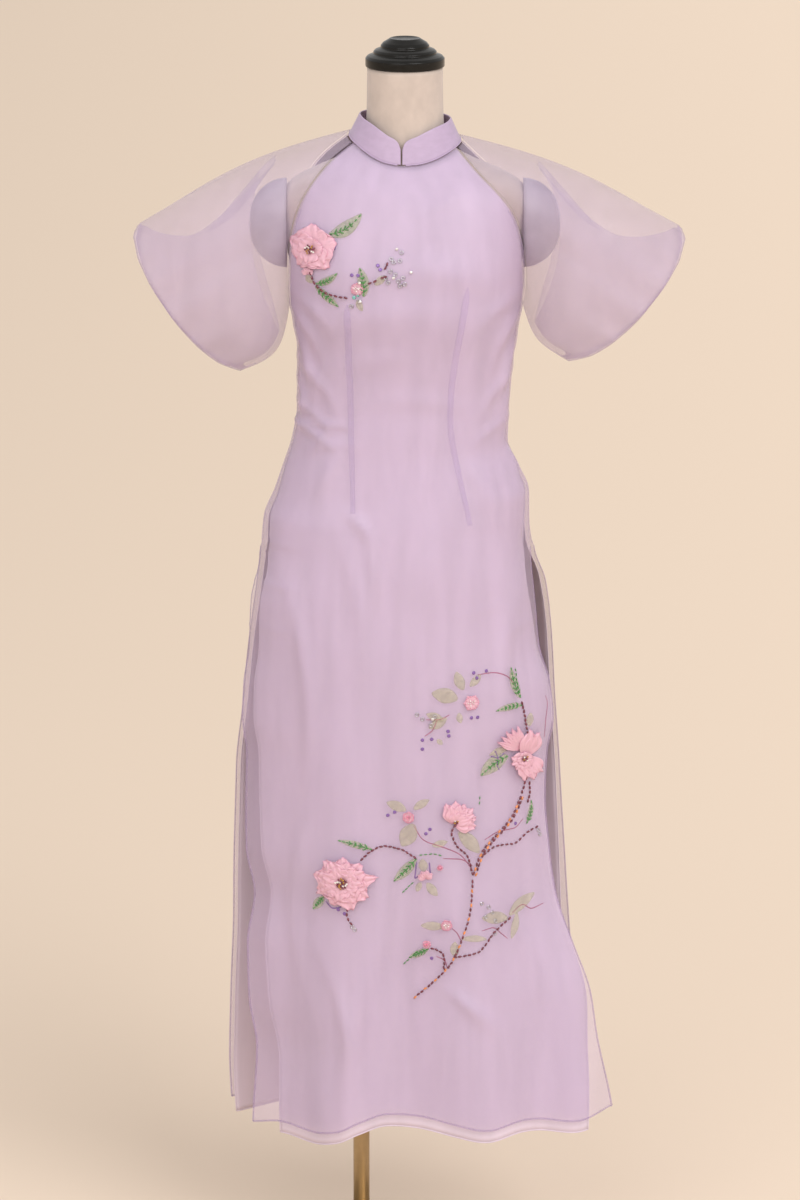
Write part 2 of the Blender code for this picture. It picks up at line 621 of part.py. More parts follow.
def form_section(z):
    """Left and right sides and front and back depths of the form at a height."""
    if z < SHOULDERS[0][0]:
        at = max(z, FORM_HIP)
        left = read(FRONT_SECTIONS, SECTION_COLUMNS, "left", at) + FORM_EASE
        right = read(FRONT_SECTIONS, SECTION_COLUMNS, "right", at) - FORM_EASE
        front = read(FRONT_SECTIONS, SECTION_COLUMNS, "middle", at) - FORM_EASE
        back = read(BACK_SECTIONS, SECTION_COLUMNS, "middle", at) - FORM_EASE
        return left, right, front, back
    half, front, back = (read(SHOULDERS, SHOULDER_COLUMNS, n, z) for n in SHOULDER_COLUMNS[1:])
    return CENTRE - half, CENTRE + half, front, back


def add_form():
    """The padded torso and neck: the tunic's sections less ease, cut flat where arms would join."""
    turn = np.linspace(0.0, 2 * math.pi, FORM_SIDES, endpoint=False)
    power = 2 / SECTION_POWER
    cos = np.sign(np.cos(turn)) * np.abs(np.cos(turn)) ** power
    sin = np.sign(np.sin(turn)) * np.abs(np.sin(turn)) ** power
    levels = (*FORM_LEVELS, *(row[0] for row in SHOULDERS[:-1]), NECK_LEVEL, NECK_TOP)
    rings = []
    for z in levels:
        left, right, front, back = form_section(z)
        tuck = 1.0 - FORM_TUCK * smoothstep((FORM_HIP - z) / (FORM_HIP - FORM_BOTTOM)) ** 2
        x = (left + right) / 2 + (right - left) / 2 * cos * tuck
        y = np.where(sin < 0, front, back) * sin * tuck
        if z > UNDERARM:
            x = np.clip(x, CENTRE - FORM_SHOULDER_FACE, CENTRE + FORM_SHOULDER_FACE)
        rings.append(np.stack([x, y, np.full(FORM_SIDES, z)], axis=-1))
    skinned_rings("form_torso", rings, FORM_CLOTH, 50.0)
    turned("form_cap", CAP_PROFILE, (CENTRE, 0.0, NECK_TOP + GAP), CAP_SIDES, CAP_BLACK)


def add_arm_plates():
    """Domed oval plates that close the form where arms would join."""
    turn = np.linspace(0.0, 2 * math.pi, PLATE_SIDES, endpoint=False)
    for which, sign in (("left", -1.0), ("right", 1.0)):
        rings = []
        for share in PLATE_SHARES:
            size = math.sqrt(1 - share**2) * (1 - PLATE_TIP) + PLATE_TIP
            x = np.full(PLATE_SIDES, CENTRE + sign * (FORM_SHOULDER_FACE + GAP + share * PLATE_OUT))
            y = PLATE_HALF[0] * size * np.cos(turn * sign)
            z = PLATE_CENTRE + PLATE_HALF[1] * size * np.sin(turn * sign)
            rings.append(np.stack([x, y, z], axis=-1))
        skinned_rings("form_arm_plate_" + which, rings, PLATE_GREY)


def add_stand():
    """The pole under the form, its boss and the weighted base disc, whose underside is flat."""
    floor = (POLE_X, 0.0, 0.0)
    base = (
        (BASE_RADIUS, 0.0),
        (BASE_RADIUS, BASE_HEIGHT - BASE_EDGE),
        (BASE_RADIUS - BASE_EDGE, BASE_HEIGHT),
    )
    turned("stand_base", base, floor, BASE_SIDES, BRASS)
    boss_low = BASE_HEIGHT + GAP
    boss = (
        (BOSS_RADIUS, boss_low),
        (BOSS_RADIUS, boss_low + BOSS_HEIGHT * BOSS_WAIST),
        (POLE_RADIUS + BOSS_COLLAR, boss_low + BOSS_HEIGHT),
    )
    turned("stand_boss", boss, floor, POLE_SIDES, BRASS)
    pole = ((POLE_RADIUS, boss_low + BOSS_HEIGHT + GAP), (POLE_RADIUS, FORM_BOTTOM - GAP))
    turned("stand_pole", pole, floor, POLE_SIDES, BRASS)


def main():
    for old in list(bpy.data.objects):
        bpy.data.objects.remove(old)
    add_panels()
    add_sleeves()
    add_collar()
    add_flowers()
    add_form()
    add_arm_plates()
    add_stand()


main()
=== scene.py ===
"""Long organza tunic with a stand collar and puff sleeves, on a limbless dress form with a pole stand.

Laid out as an add-on: sizes and colours in property groups, one operator for each group of pieces
and a panel that lists them. Every cloth is a surface worked out with numpy from sections, seams and
fold tables, in metres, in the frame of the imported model.
"""

import math

import bpy
import numpy as np
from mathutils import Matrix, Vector


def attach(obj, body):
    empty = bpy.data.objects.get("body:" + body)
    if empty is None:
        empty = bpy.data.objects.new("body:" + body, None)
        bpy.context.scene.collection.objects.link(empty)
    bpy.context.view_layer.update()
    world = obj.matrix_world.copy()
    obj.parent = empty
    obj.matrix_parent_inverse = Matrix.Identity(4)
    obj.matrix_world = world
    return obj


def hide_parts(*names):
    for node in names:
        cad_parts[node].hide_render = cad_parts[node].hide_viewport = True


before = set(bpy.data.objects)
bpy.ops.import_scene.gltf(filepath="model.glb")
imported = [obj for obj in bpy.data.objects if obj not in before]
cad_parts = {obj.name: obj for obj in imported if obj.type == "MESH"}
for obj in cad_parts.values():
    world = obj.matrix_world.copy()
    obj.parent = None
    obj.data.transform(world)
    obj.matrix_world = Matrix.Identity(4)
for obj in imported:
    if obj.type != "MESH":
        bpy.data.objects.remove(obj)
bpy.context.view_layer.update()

bl_info = {
    "name": "Organza Tunic on Dress Form",
    "version": (1, 0, 0),
    "blender": (4, 5, 0),
    "location": "3D View > Sidebar > Tunic",
    "description": "Builds a long organza tunic with applique flowers on a dress form",
    "category": "Object",
}

# ---- the cut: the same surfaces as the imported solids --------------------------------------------
# Heights and depths are in metres. X runs to the right and y runs back.
SEAM = 0.0007
CENTRE = -0.0056
UNDERARM = 1.290
HEM = 0.200
LINING_INSET = 0.0022
LINING_HANG = 0.0075
LINING_DROP = 0.019
CLOTH_WALL = 0.0010
SECTION_POWER = 2.3
LINING_NECK_DROP = 1.5  # the lining's neckline is lower and further in, by these shares of its inset
LINING_NECK_IN = 0.5
LINING_RAGLAN_IN = 0.7  # and its raglan edge further in, fully from RAGLAN_RISE of the way up
RAGLAN_RISE = 0.3
JOIN_START = 0.93  # the lining's section starts to close at its own edges here, fully JOIN_RISE higher
JOIN_RISE = 0.05
HANG_TOP = 0.95  # the linings start to hang free here, and do so fully HANG_RISE lower
HANG_RISE = 0.35
HEM_RISE = 0.30  # the hem's own curve fades out this far up the panel
YOKE_BEND = 2.5  # how late the yoke's rows bend to the neckline, and its depth settles there
YOKE_SETTLE = 4
WRAPPED = 0.43  # softness of a section that goes round the body
SPREAD_OVER = 0.37  # a row this much softer than WRAPPED has its points spaced evenly by EVEN_SHARE
EVEN_SHARE = 0.7

# Sections of the front and back halves: the sides, the depth at the sides and in the middle, and how
# soft the sides are.
SECTION_COLUMNS = ("z", "left", "right", "edge", "middle", "softness")
FRONT_SECTIONS = (
    (0.180, -0.208, 0.272, 0.046, 0.124, 1.05),
    (0.220, -0.206, 0.265, 0.045, 0.124, 1.05),
    (0.300, -0.201, 0.249, 0.043, 0.123, 1.05),
    (0.370, -0.211, 0.239, 0.042, 0.122, 1.05),
    (0.440, -0.212, 0.215, 0.041, 0.121, 1.03),
    (0.510, -0.202, 0.192, 0.040, 0.121, 1.00),
    (0.570, -0.212, 0.183, 0.039, 0.121, 0.98),
    (0.640, -0.213, 0.177, 0.037, 0.120, 0.95),
    (0.700, -0.212, 0.179, 0.035, 0.120, 0.92),
    (0.745, -0.217, 0.187, 0.032, 0.119, 0.86),
    (0.790, -0.2155, 0.183, 0.028, 0.118, 0.78),
    (0.840, -0.208, 0.169, 0.022, 0.117, 0.66),
    (0.900, -0.205, 0.163, 0.012, 0.114, 0.54),
    (0.950, -0.194, 0.158, 0.003, 0.112, 0.46),
    (1.005, -0.190, 0.1565, 0.0, 0.108, WRAPPED),
    (1.040, -0.1765, 0.1560, 0.0, 0.104, WRAPPED),
    (1.070, -0.1660, 0.1440, 0.0, 0.101, WRAPPED),
    (1.112, -0.1520, 0.1275, 0.0, 0.098, WRAPPED),
    (1.155, -0.1453, 0.1290, 0.0, 0.098, WRAPPED),
    (1.228, -0.1447, 0.1350, 0.0, 0.107, WRAPPED),
    (1.290, -0.1535, 0.1455, 0.0, 0.121, WRAPPED),
    (1.340, -0.1620, 0.1530, 0.0, 0.123, WRAPPED),
    (1.390, -0.1690, 0.1580, 0.0, 0.111, WRAPPED),
    (1.430, -0.1700, 0.1590, 0.0, 0.096, WRAPPED),
    (1.460, -0.1600, 0.1480, 0.0, 0.079, WRAPPED),
    (1.481, -0.1330, 0.1200, 0.0, 0.061, WRAPPED),
    (1.505, -0.0960, 0.0860, 0.0, 0.036, WRAPPED),
    (1.525, -0.0820, 0.0700, 0.0, 0.030, WRAPPED),
)
BACK_SECTIONS = (
    (0.180, -0.237, 0.230, 0.060, 0.135, 1.10),
    (0.260, -0.240, 0.226, 0.058, 0.134, 1.10),
    (0.330, -0.238, 0.221, 0.056, 0.134, 1.10),
    (0.450, -0.233, 0.212, 0.053, 0.133, 1.08),
    (0.530, -0.2316, 0.2062, 0.050, 0.133, 1.05),
    (0.660, -0.228, 0.1985, 0.044, 0.133, 1.00),
    (0.740, -0.219, 0.193, 0.036, 0.133, 0.92),
    (0.810, -0.212, 0.1885, 0.026, 0.132, 0.82),
    (0.874, -0.204, 0.183, 0.015, 0.131, 0.68),
    (0.920, -0.198, 0.177, 0.008, 0.129, 0.54),
    (0.960, -0.193, 0.163, 0.002, 0.126, 0.45),
    (1.005, -0.190, 0.1565, 0.0, 0.121, WRAPPED),
    (1.040, -0.1765, 0.1560, 0.0, 0.113, WRAPPED),
    (1.070, -0.1660, 0.1440, 0.0, 0.104, WRAPPED),
    (1.112, -0.1520, 0.1275, 0.0, 0.091, WRAPPED),
    (1.155, -0.1453, 0.1290, 0.0, 0.085, WRAPPED),
    (1.228, -0.1447, 0.1350, 0.0, 0.088, WRAPPED),
    (1.290, -0.1535, 0.1455, 0.0, 0.095, WRAPPED),
    (1.340, -0.1620, 0.1530, 0.0, 0.098, WRAPPED),
    (1.390, -0.1690, 0.1580, 0.0, 0.097, WRAPPED),
    (1.430, -0.1700, 0.1590, 0.0, 0.092, WRAPPED),
    (1.460, -0.1600, 0.1480, 0.0, 0.083, WRAPPED),
    (1.481, -0.1330, 0.1200, 0.0, 0.074, WRAPPED),
    (1.505, -0.0960, 0.0860, 0.0, 0.060, WRAPPED),
    (1.525, -0.0820, 0.0700, 0.0, 0.045, WRAPPED),
)
# Long folds of the hanging panels: x at the top and at the hem, height of the top, half width, and how
# far each stands out at the hem (less than 0 goes in).
FRONT_FOLDS = (
    (-0.075, -0.0975, 0.95, 0.045, 0.013),
    (0.060, 0.095, 0.90, 0.045, 0.012),
    (-0.015, -0.012, 0.95, 0.040, -0.012),
    (-0.150, -0.165, 0.95, 0.030, -0.010),
    (0.145, 0.175, 0.80, 0.030, -0.010),
    (0.185, 0.235, 0.60, 0.026, 0.008),
)
BACK_FOLDS = (
    (-0.090, -0.125, 0.92, 0.042, 0.010),
    (0.080, 0.120, 0.90, 0.045, 0.010),
    (0.010, 0.020, 0.95, 0.050, -0.012),
    (-0.040, -0.050, 0.70, 0.030, 0.008),
    (0.150, 0.185, 0.80, 0.030, -0.009),
)
HEM_COLUMNS = ("x", "z")
FRONT_HEM = (
    (-0.209, 0.193), (-0.168, 0.199), (-0.125, 0.197), (-0.097, 0.202), (-0.067, 0.2155),
    (-0.030, 0.226), (0.013, 0.2247), (0.063, 0.2157), (0.106, 0.2084), (0.147, 0.2144),
    (0.220, 0.2054), (0.267, 0.2160),
)
BACK_HEM = (
    (-0.237, 0.1932), (-0.150, 0.198), (-0.050, 0.206), (0.050, 0.209), (0.150, 0.203),
    (0.230, 0.196),
)
# How far the lining's free edges lie inside the organza's.
LINING_EDGE_COLUMNS = ("z", "front_left", "front_right", "back_left", "back_right")
LINING_EDGES = (
    (0.180, 0.038, 0.036, 0.0065, 0.016),
    (0.300, 0.030, 0.014, 0.006, 0.014),
    (0.440, 0.024, 0.001, 0.006, 0.010),
    (0.700, 0.016, 0.001, 0.006, 0.006),
    (0.850, 0.013, 0.004, 0.007, 0.006),
    (0.940, 0.012, 0.009, 0.008, 0.008),
    (1.030, 0.0065, 0.0055, 0.0060, 0.0055),
    (1.090, 0.0022, 0.0022, 0.0022, 0.0022),
    (1.550, 0.0022, 0.0022, 0.0022, 0.0022),
)
RAGLAN_COLUMNS = ("share", "left_x", "left_z", "right_x", "right_z")
RAGLAN = (
    (0.00, -0.1535, 1.290, 0.1455, 1.290),
    (0.15, -0.1553, 1.320, 0.1490, 1.323),
    (0.32, -0.1550, 1.357, 0.1475, 1.362),
    (0.50, -0.1505, 1.395, 0.1410, 1.397),
    (0.66, -0.1415, 1.427, 0.1290, 1.425),
    (0.80, -0.1265, 1.454, 0.1090, 1.449),
    (0.91, -0.1010, 1.483, 0.0860, 1.471),
    (1.00, -0.0722, 1.5045, 0.0595, 1.4985),
)
NECK_COLUMNS = ("angle", "base", "top")
NECK = (
    (0.0, 1.4810, 1.4975),
    (4.0, 1.4812, 1.5085),
    (9.0, 1.4820, 1.5130),
    (18.0, 1.4835, 1.5170),
    (31.0, 1.4880, 1.5235),
    (45.0, 1.4945, 1.5290),
    (61.0, 1.5015, 1.5325),
    (90.0, 1.5085, 1.5362),
    (130.0, 1.5145, 1.5364),
    (180.0, 1.5180, 1.5355),
)
NECK_BASE_HALF = (0.0715, 0.0580)
NECK_TOP_HALF = (0.0588, 0.0530)
NECK_MIDDLE_Y = -0.0030
NECK_TILT = 0.05
SLIT_HALF_DEG = 0.8
SLIT_X = -0.0045
FRONT_NECK_DEG = 66.0
BACK_NECK_DEG = 115.0
SLEEVE_COLUMNS = ("tip_x", "tip_z", "low_x", "low_z", "depth", "bow", "top_puff", "low_puff")
SLEEVES = {
    "left": (-0.3447, 1.3955, -0.2110, 1.2075, 0.088, 0.040, 0.013, 0.020),
    "right": (0.3455, 1.3926, 0.1985, 1.2215, 0.088, 0.042, 0.013, 0.012),
}
SLEEVE_SIDE_PUFF = 0.028
HEM_TILT = 0.25
SLEEVE_START = 0.006
ARMHOLE_GAP = 0.0010
INNER_REACH = 0.66
INNER_GAP = 0.0050
INNER_SAG = 0.050
INNER_TUCK = 0.004

# ---- creases ------------------------------------------------------------------------------------
# Soft ridges: x and z of the middle, direction in degrees from level, half length, half width and
# height, which CREASE_RISE multiplies.
FRONT_CREASES = (
    (-0.128, 1.268, -58.0, 0.034, 0.0060, 0.0022),
    (-0.131, 1.232, -74.0, 0.030, 0.0050, 0.0025),
    (-0.118, 1.205, -48.0, 0.034, 0.0070, 0.0018),
    (-0.134, 1.176, -80.0, 0.024, 0.0045, 0.0022),
    (-0.121, 1.158, -36.0, 0.024, 0.0050, 0.0016),
    (-0.126, 1.134, -24.0, 0.028, 0.0045, 0.0024),
    (-0.120, 1.298, -42.0, 0.030, 0.0080, 0.0016),
    (-0.098, 1.120, 12.0, 0.026, 0.0060, 0.0012),
    (0.121, 1.262, 60.0, 0.032, 0.0060, 0.0020),
    (0.124, 1.222, 76.0, 0.028, 0.0050, 0.0024),
    (0.110, 1.190, 52.0, 0.032, 0.0070, 0.0018),
    (0.121, 1.160, 84.0, 0.022, 0.0045, 0.0020),
    (0.106, 1.138, 30.0, 0.024, 0.0060, 0.0014),
    (0.112, 1.300, 38.0, 0.030, 0.0085, 0.0014),
    (-0.006, 1.4690, 9.0, 0.018, 0.0032, 0.0011),
    (-0.040, 1.452, -20.0, 0.030, 0.0090, 0.0010),
    (0.050, 1.440, 24.0, 0.030, 0.0090, 0.0010),
    (-0.020, 1.300, 4.0, 0.080, 0.0180, 0.0014),
    (0.045, 1.352, -12.0, 0.060, 0.0180, 0.0012),
    (-0.045, 1.236, 8.0, 0.050, 0.0140, 0.0012),
    (0.020, 1.180, -6.0, 0.060, 0.0120, 0.0010),
    (-0.105, 1.082, 62.0, 0.040, 0.0110, 0.0020),
    (0.098, 1.060, -64.0, 0.038, 0.0110, 0.0018),
    (-0.172, 0.985, 3.0, 0.030, 0.0025, 0.0008),
    (-0.174, 0.929, 2.0, 0.034, 0.0025, 0.0008),
    (-0.176, 0.872, 1.0, 0.032, 0.0025, 0.0008),
    (0.100, 0.905, 4.0, 0.026, 0.0025, 0.0008),
    (0.145, 0.876, 14.0, 0.020, 0.0025, 0.0008),
    (-0.062, 1.018, -46.0, 0.022, 0.0060, 0.0022),
    (-0.047, 0.960, -88.0, 0.050, 0.0070, 0.0024),
    (-0.132, 1.142, 30.0, 0.012, 0.0034, 0.0016),
    (-0.100, 1.1465, 2.0, 0.026, 0.0034, 0.0015),
    (-0.1345, 1.166, 68.0, 0.018, 0.0034, 0.0012),
    (-0.118, 1.195, 76.0, 0.030, 0.0036, 0.0010),
    (0.1360, 1.083, -58.0, 0.014, 0.0036, 0.0016),
    (0.127, 1.098, -52.0, 0.012, 0.0034, 0.0012),
    (0.118, 1.195, 82.0, 0.034, 0.0036, 0.0010),
    (-0.082, 0.310, 81.6, 0.110, 0.0100, 0.0016),
    (0.095, 0.364, -47.0, 0.035, 0.0070, 0.0016),
    (-0.112, 1.126, 62.0, 0.018, 0.0035, 0.0018),
    (-0.062, 0.900, -84.0, 0.080, 0.0120, 0.0022),
    (0.030, 0.960, 86.0, 0.080, 0.0140, 0.0016),
    (-0.130, 0.800, -86.0, 0.110, 0.0110, 0.0026),
    (0.120, 0.840, 84.0, 0.070, 0.0120, 0.0020),
    (-0.080, 0.330, -83.0, 0.080, 0.0090, 0.0030),
    (0.078, 0.375, -52.0, 0.030, 0.0080, 0.0022),
    (0.020, 0.560, 88.0, 0.130, 0.0150, 0.0018),
    (0.160, 0.420, -78.0, 0.060, 0.0090, 0.0024),
    (-0.150, 0.520, 87.0, 0.100, 0.0100, 0.0022),
)
BACK_CREASES = (
    (-0.126, 1.255, 62.0, 0.032, 0.0060, 0.0020),
    (-0.122, 1.205, 78.0, 0.030, 0.0050, 0.0022),
    (-0.112, 1.170, 40.0, 0.030, 0.0070, 0.0016),
    (0.115, 1.248, -58.0, 0.032, 0.0060, 0.0020),
    (0.118, 1.200, -76.0, 0.028, 0.0050, 0.0022),
    (0.100, 1.160, -40.0, 0.030, 0.0070, 0.0016),
    (0.000, 1.150, 3.0, 0.070, 0.0100, 0.0014),
    (-0.020, 1.115, -5.0, 0.060, 0.0090, 0.0012),
    (0.030, 1.380, 12.0, 0.060, 0.0180, 0.0012),
    (-0.050, 1.340, -10.0, 0.060, 0.0160, 0.0012),
    (-0.170, 0.960, 3.0, 0.030, 0.0025, 0.0008),
    (0.140, 0.890, 4.0, 0.030, 0.0025, 0.0008),
    (-0.040, 0.905, 86.0, 0.110, 0.0130, 0.0022),
    (0.070, 0.860, -86.0, 0.110, 0.0120, 0.0022),
    (-0.140, 0.700, 87.0, 0.120, 0.0110, 0.0024),
    (0.150, 0.560, -86.0, 0.100, 0.0110, 0.0024),
    (0.020, 0.480, 88.0, 0.130, 0.0140, 0.0020),
    (-0.090, 0.350, -84.0, 0.090, 0.0100, 0.0024),
)
CREASE_RISE = 2.0
CREASE_BOW = 0.12  # how far a crease bends off its straight line, as a share of its half length
# Waves of the cloth's slow unevenness: turns per metre across and up, phase, and height.
UNEVEN = (
    (4.1, 2.3, 0.4, 0.0009),
    (7.7, 1.2, 2.1, 0.0007),
    (11.3, 3.9, 4.0, 0.0004),
    (2.2, 6.4, 1.3, 0.0006),
)
CREASED_BELOW = 0.97  # above this height creases fade out over SEAM_FLAT of the half width at a seam
SEAM_FLAT = 0.10
NECK_FLAT_ROWS = 12.0  # and over this many rows at the neckline
# Soft folds of a sleeve: angle round it in degrees, half width in degrees, where along the sleeve it
# starts, and how far it stands out at the hem.
SLEEVE_FOLDS = (
    (28.0, 7.0, 0.35, 0.0040), (50.0, 6.0, 0.20, 0.0050), (71.0, 8.0, 0.45, 0.0045),
    (96.0, 7.0, 0.25, 0.0055), (122.0, 6.0, 0.50, 0.0045), (146.0, 7.0, 0.30, 0.0050),
    (168.0, 5.0, 0.60, 0.0040), (196.0, 7.0, 0.40, 0.0045), (222.0, 8.0, 0.25, 0.0050),
    (251.0, 6.0, 0.50, 0.0050), (277.0, 8.0, 0.30, 0.0050), (304.0, 7.0, 0.40, 0.0045),
    (331.0, 6.0, 0.50, 0.0040),
)
# Waist darts: where each starts, its waist and its end, in x and z.
DARTS = {
    "left": ((-0.0790, 1.3110), (-0.0745, 1.1640), (-0.0724, 1.0340)),
    "right": ((0.0735, 1.3330), (0.0520, 1.1620), (0.0779, 1.0170)),
}

# ---- the embroidery, drawn on the front by x and z ----------------------------------------------
# Branches of bead stitches: the thickness of the string in beads, how often an orange bead comes,
# and the points that the string passes through.
BRANCHES = {
    "trunk": (
        1,
        3,
        ((0.006, 0.386), (0.029, 0.408), (0.053, 0.434), (0.069, 0.470), (0.079, 0.508), (0.082, 0.548)),
    ),
    "fork_left": (1, 0, ((0.082, 0.552), (0.076, 0.578), (0.060, 0.596), (0.054, 0.614), (0.061, 0.623))),
    "fork_right": (2, 3, ((0.084, 0.552), (0.094, 0.580), (0.114, 0.602), (0.134, 0.622), (0.146, 0.648))),
    "fork_tip": (1, 0, ((0.145, 0.650), (0.150, 0.668), (0.152, 0.680))),
    "twig_right": (1, 0, ((0.095, 0.578), (0.114, 0.588), (0.136, 0.586), (0.154, 0.598), (0.168, 0.602))),
    "spur_right": (1, 0, ((0.155, 0.666), (0.156, 0.650), (0.152, 0.636))),
    "branch_low_right": (1, 0, ((0.057, 0.445), (0.088, 0.450), (0.110, 0.474), (0.132, 0.490))),
    "twig_low_left": (1, 0, ((0.046, 0.428), (0.046, 0.446), (0.036, 0.456), (0.028, 0.457))),
    "branch_left": (
        1, 0, ((0.010, 0.578), (-0.012, 0.590), (-0.034, 0.595), (-0.054, 0.586), (-0.064, 0.576)),
    ),
    "twig_low_flower": (1, 0, ((-0.080, 0.512), (-0.081, 0.500), (-0.074, 0.488))),
    "branch_up": (1, 0, ((0.153, 0.726), (0.149, 0.752), (0.144, 0.778))),
    "chest_a": (
        1, 0, ((-0.1255, 1.350), (-0.121, 1.337), (-0.110, 1.326), (-0.095, 1.321), (-0.077, 1.3195)),
    ),
    "chest_b": (1, 0, ((-0.0535, 1.339), (-0.0400, 1.344))),
    "chest_c": (1, 0, ((-0.0360, 1.3465), (-0.0290, 1.3485))),
    "chest_d": (1, 0, ((-0.0315, 1.357), (-0.0275, 1.3655))),
}
# Runs of green stitches.
GREEN_RUNS = {
    "left": ((0.043, 0.582), (0.028, 0.585), (0.013, 0.583)),
    "side_leaf": ((0.092, 0.658), (0.090, 0.645)),
    "low_leaf": ((0.012, 0.452), (-0.008, 0.432)),
    "branch_top": ((0.143, 0.782), (0.139, 0.800), (0.136, 0.822)),
    "left_tip": ((0.006, 0.546), (-0.009, 0.530)),
}
# Lilac lines drawn on the cloth: a hanging bud, a flower's shade and a sprout.
LILAC_LINES = {
    "cup": (
        (0.0100, 0.573), (0.0075, 0.550), (0.0140, 0.555), (0.0183, 0.549),
        (0.0227, 0.555), (0.0285, 0.550), (0.0265, 0.573),
    ),
    "shade": ((-0.108, 0.517), (-0.099, 0.509), (-0.088, 0.512)),
    "sprout": ((0.1110, 0.716), (0.1150, 0.704), (0.1140, 0.697), (0.1165, 0.689)),
    "sprout_arm": ((0.1060, 0.709), (0.1150, 0.706), (0.1230, 0.710)),
    "chest": ((-0.0960, 1.392), (-0.0935, 1.386), (-0.0950, 1.379)),
}
# Stems and tendrils printed on the cloth.
PRINTED_STEMS = {
    "outer_twig": ((0.1765, 0.777), (0.1790, 0.766), (0.1765, 0.745), (0.1750, 0.722)),
    "arch": ((0.136, 0.800), (0.124, 0.814), (0.106, 0.821), (0.088, 0.820)),
    "long": ((0.083, 0.558), (0.066, 0.582), (0.042, 0.594), (0.018, 0.604), (0.006, 0.622)),
    "short": ((0.082, 0.566), (0.066, 0.576), (0.044, 0.578)),
    "low_bud": ((0.068, 0.466), (0.062, 0.478), (0.056, 0.484)),
    "low_left": ((0.050, 0.430), (0.047, 0.440), (0.036, 0.446)),
    "tendril": ((0.134, 0.494), (0.148, 0.502), (0.160, 0.494), (0.176, 0.498)),
    "tendril_low": ((0.094, 0.478), (0.108, 0.480), (0.120, 0.470), (0.128, 0.462)),
    "ring_stem": ((0.052, 0.770), (0.038, 0.764), (0.022, 0.764)),
    "ring_stem_low": ((0.036, 0.764), (0.030, 0.750), (0.020, 0.742)),
    "spur": ((0.098, 0.598), (0.118, 0.606), (0.136, 0.606), (0.148, 0.616)),
}
# Leaves: the foot of each, its direction in degrees, its length, its bend, its half width as a share
# of the length, and whether it is stitched.
LEAVES = (
    (-0.048, 0.590, 158.0, 0.046, 0.25, 0.10, 1),
    (0.010, 0.578, 232.0, 0.044, -0.20, 0.16, 1),
    (-0.110, 0.524, 232.0, 0.026, 0.10, 0.22, 1),
    (0.026, 0.456, 212.0, 0.030, -0.10, 0.16, 1),
    (0.128, 0.706, 196.0, 0.040, 0.55, 0.26, 1),
    (0.143, 0.782, 116.0, 0.044, -0.30, 0.12, 1),
    (0.146, 0.772, 170.0, 0.034, 0.50, 0.14, 1),
    (0.152, 0.608, 58.0, 0.030, 0.75, 0.12, 1),
    (-0.102, 1.398, 6.0, 0.044, 1.00, 0.20, 1),
    (-0.119, 1.334, 8.0, 0.030, 0.85, 0.16, 1),
    (-0.119, 1.331, -42.0, 0.038, 0.10, 0.14, 1),
    (-0.058, 1.322, 84.0, 0.036, 0.50, 0.20, 1),
    (0.062, 0.790, 156.0, 0.034, 0.30, 0.30, 0),
    (0.070, 0.802, 120.0, 0.026, -0.30, 0.26, 0),
    (0.078, 0.806, 40.0, 0.020, 0.20, 0.26, 0),
    (0.048, 0.766, 216.0, 0.026, -0.20, 0.26, 0),
    (0.044, 0.762, 150.0, 0.024, 0.20, 0.24, 0),
    (0.064, 0.772, -88.0, 0.014, 0.30, 0.30, 0),
    (-0.004, 0.642, 150.0, 0.028, 0.20, 0.24, 0),
    (0.006, 0.644, 40.0, 0.024, -0.20, 0.22, 0),
    (0.006, 0.624, 246.0, 0.034, -0.10, 0.34, 0),
    (0.064, 0.612, -40.0, 0.040, -0.30, 0.22, 0),
    (0.018, 0.578, -90.0, 0.018, 0.20, 0.34, 0),
    (0.024, 0.546, -60.0, 0.022, 0.20, 0.26, 0),
    (0.016, 0.546, -120.0, 0.014, 0.20, 0.30, 0),
    (0.030, 0.596, 8.0, 0.020, 0.20, 0.24, 0),
    (0.130, 0.492, 40.0, 0.040, -0.25, 0.20, 0),
    (0.128, 0.488, 160.0, 0.034, 0.30, 0.24, 0),
    (0.140, 0.494, -96.0, 0.034, -0.20, 0.14, 0),
    (0.100, 0.466, 164.0, 0.032, 0.35, 0.14, 0),
    (0.046, 0.486, 172.0, 0.030, 0.20, 0.20, 0),
    (0.060, 0.446, 96.0, 0.020, -0.20, 0.30, 0),
    (0.155, 0.742, 84.0, 0.018, 0.10, 0.26, 0),
    (0.128, 0.716, 178.0, 0.024, 0.50, 0.20, 0),
    (0.036, 0.738, -50.0, 0.010, 0.20, 0.34, 0),
    (-0.044, 1.338, 36.0, 0.018, 0.20, 0.26, 0),
    (-0.066, 1.318, -70.0, 0.016, 0.20, 0.26, 0),
    (-0.130, 1.344, -60.0, 0.012, 0.20, 0.40, 0),
)
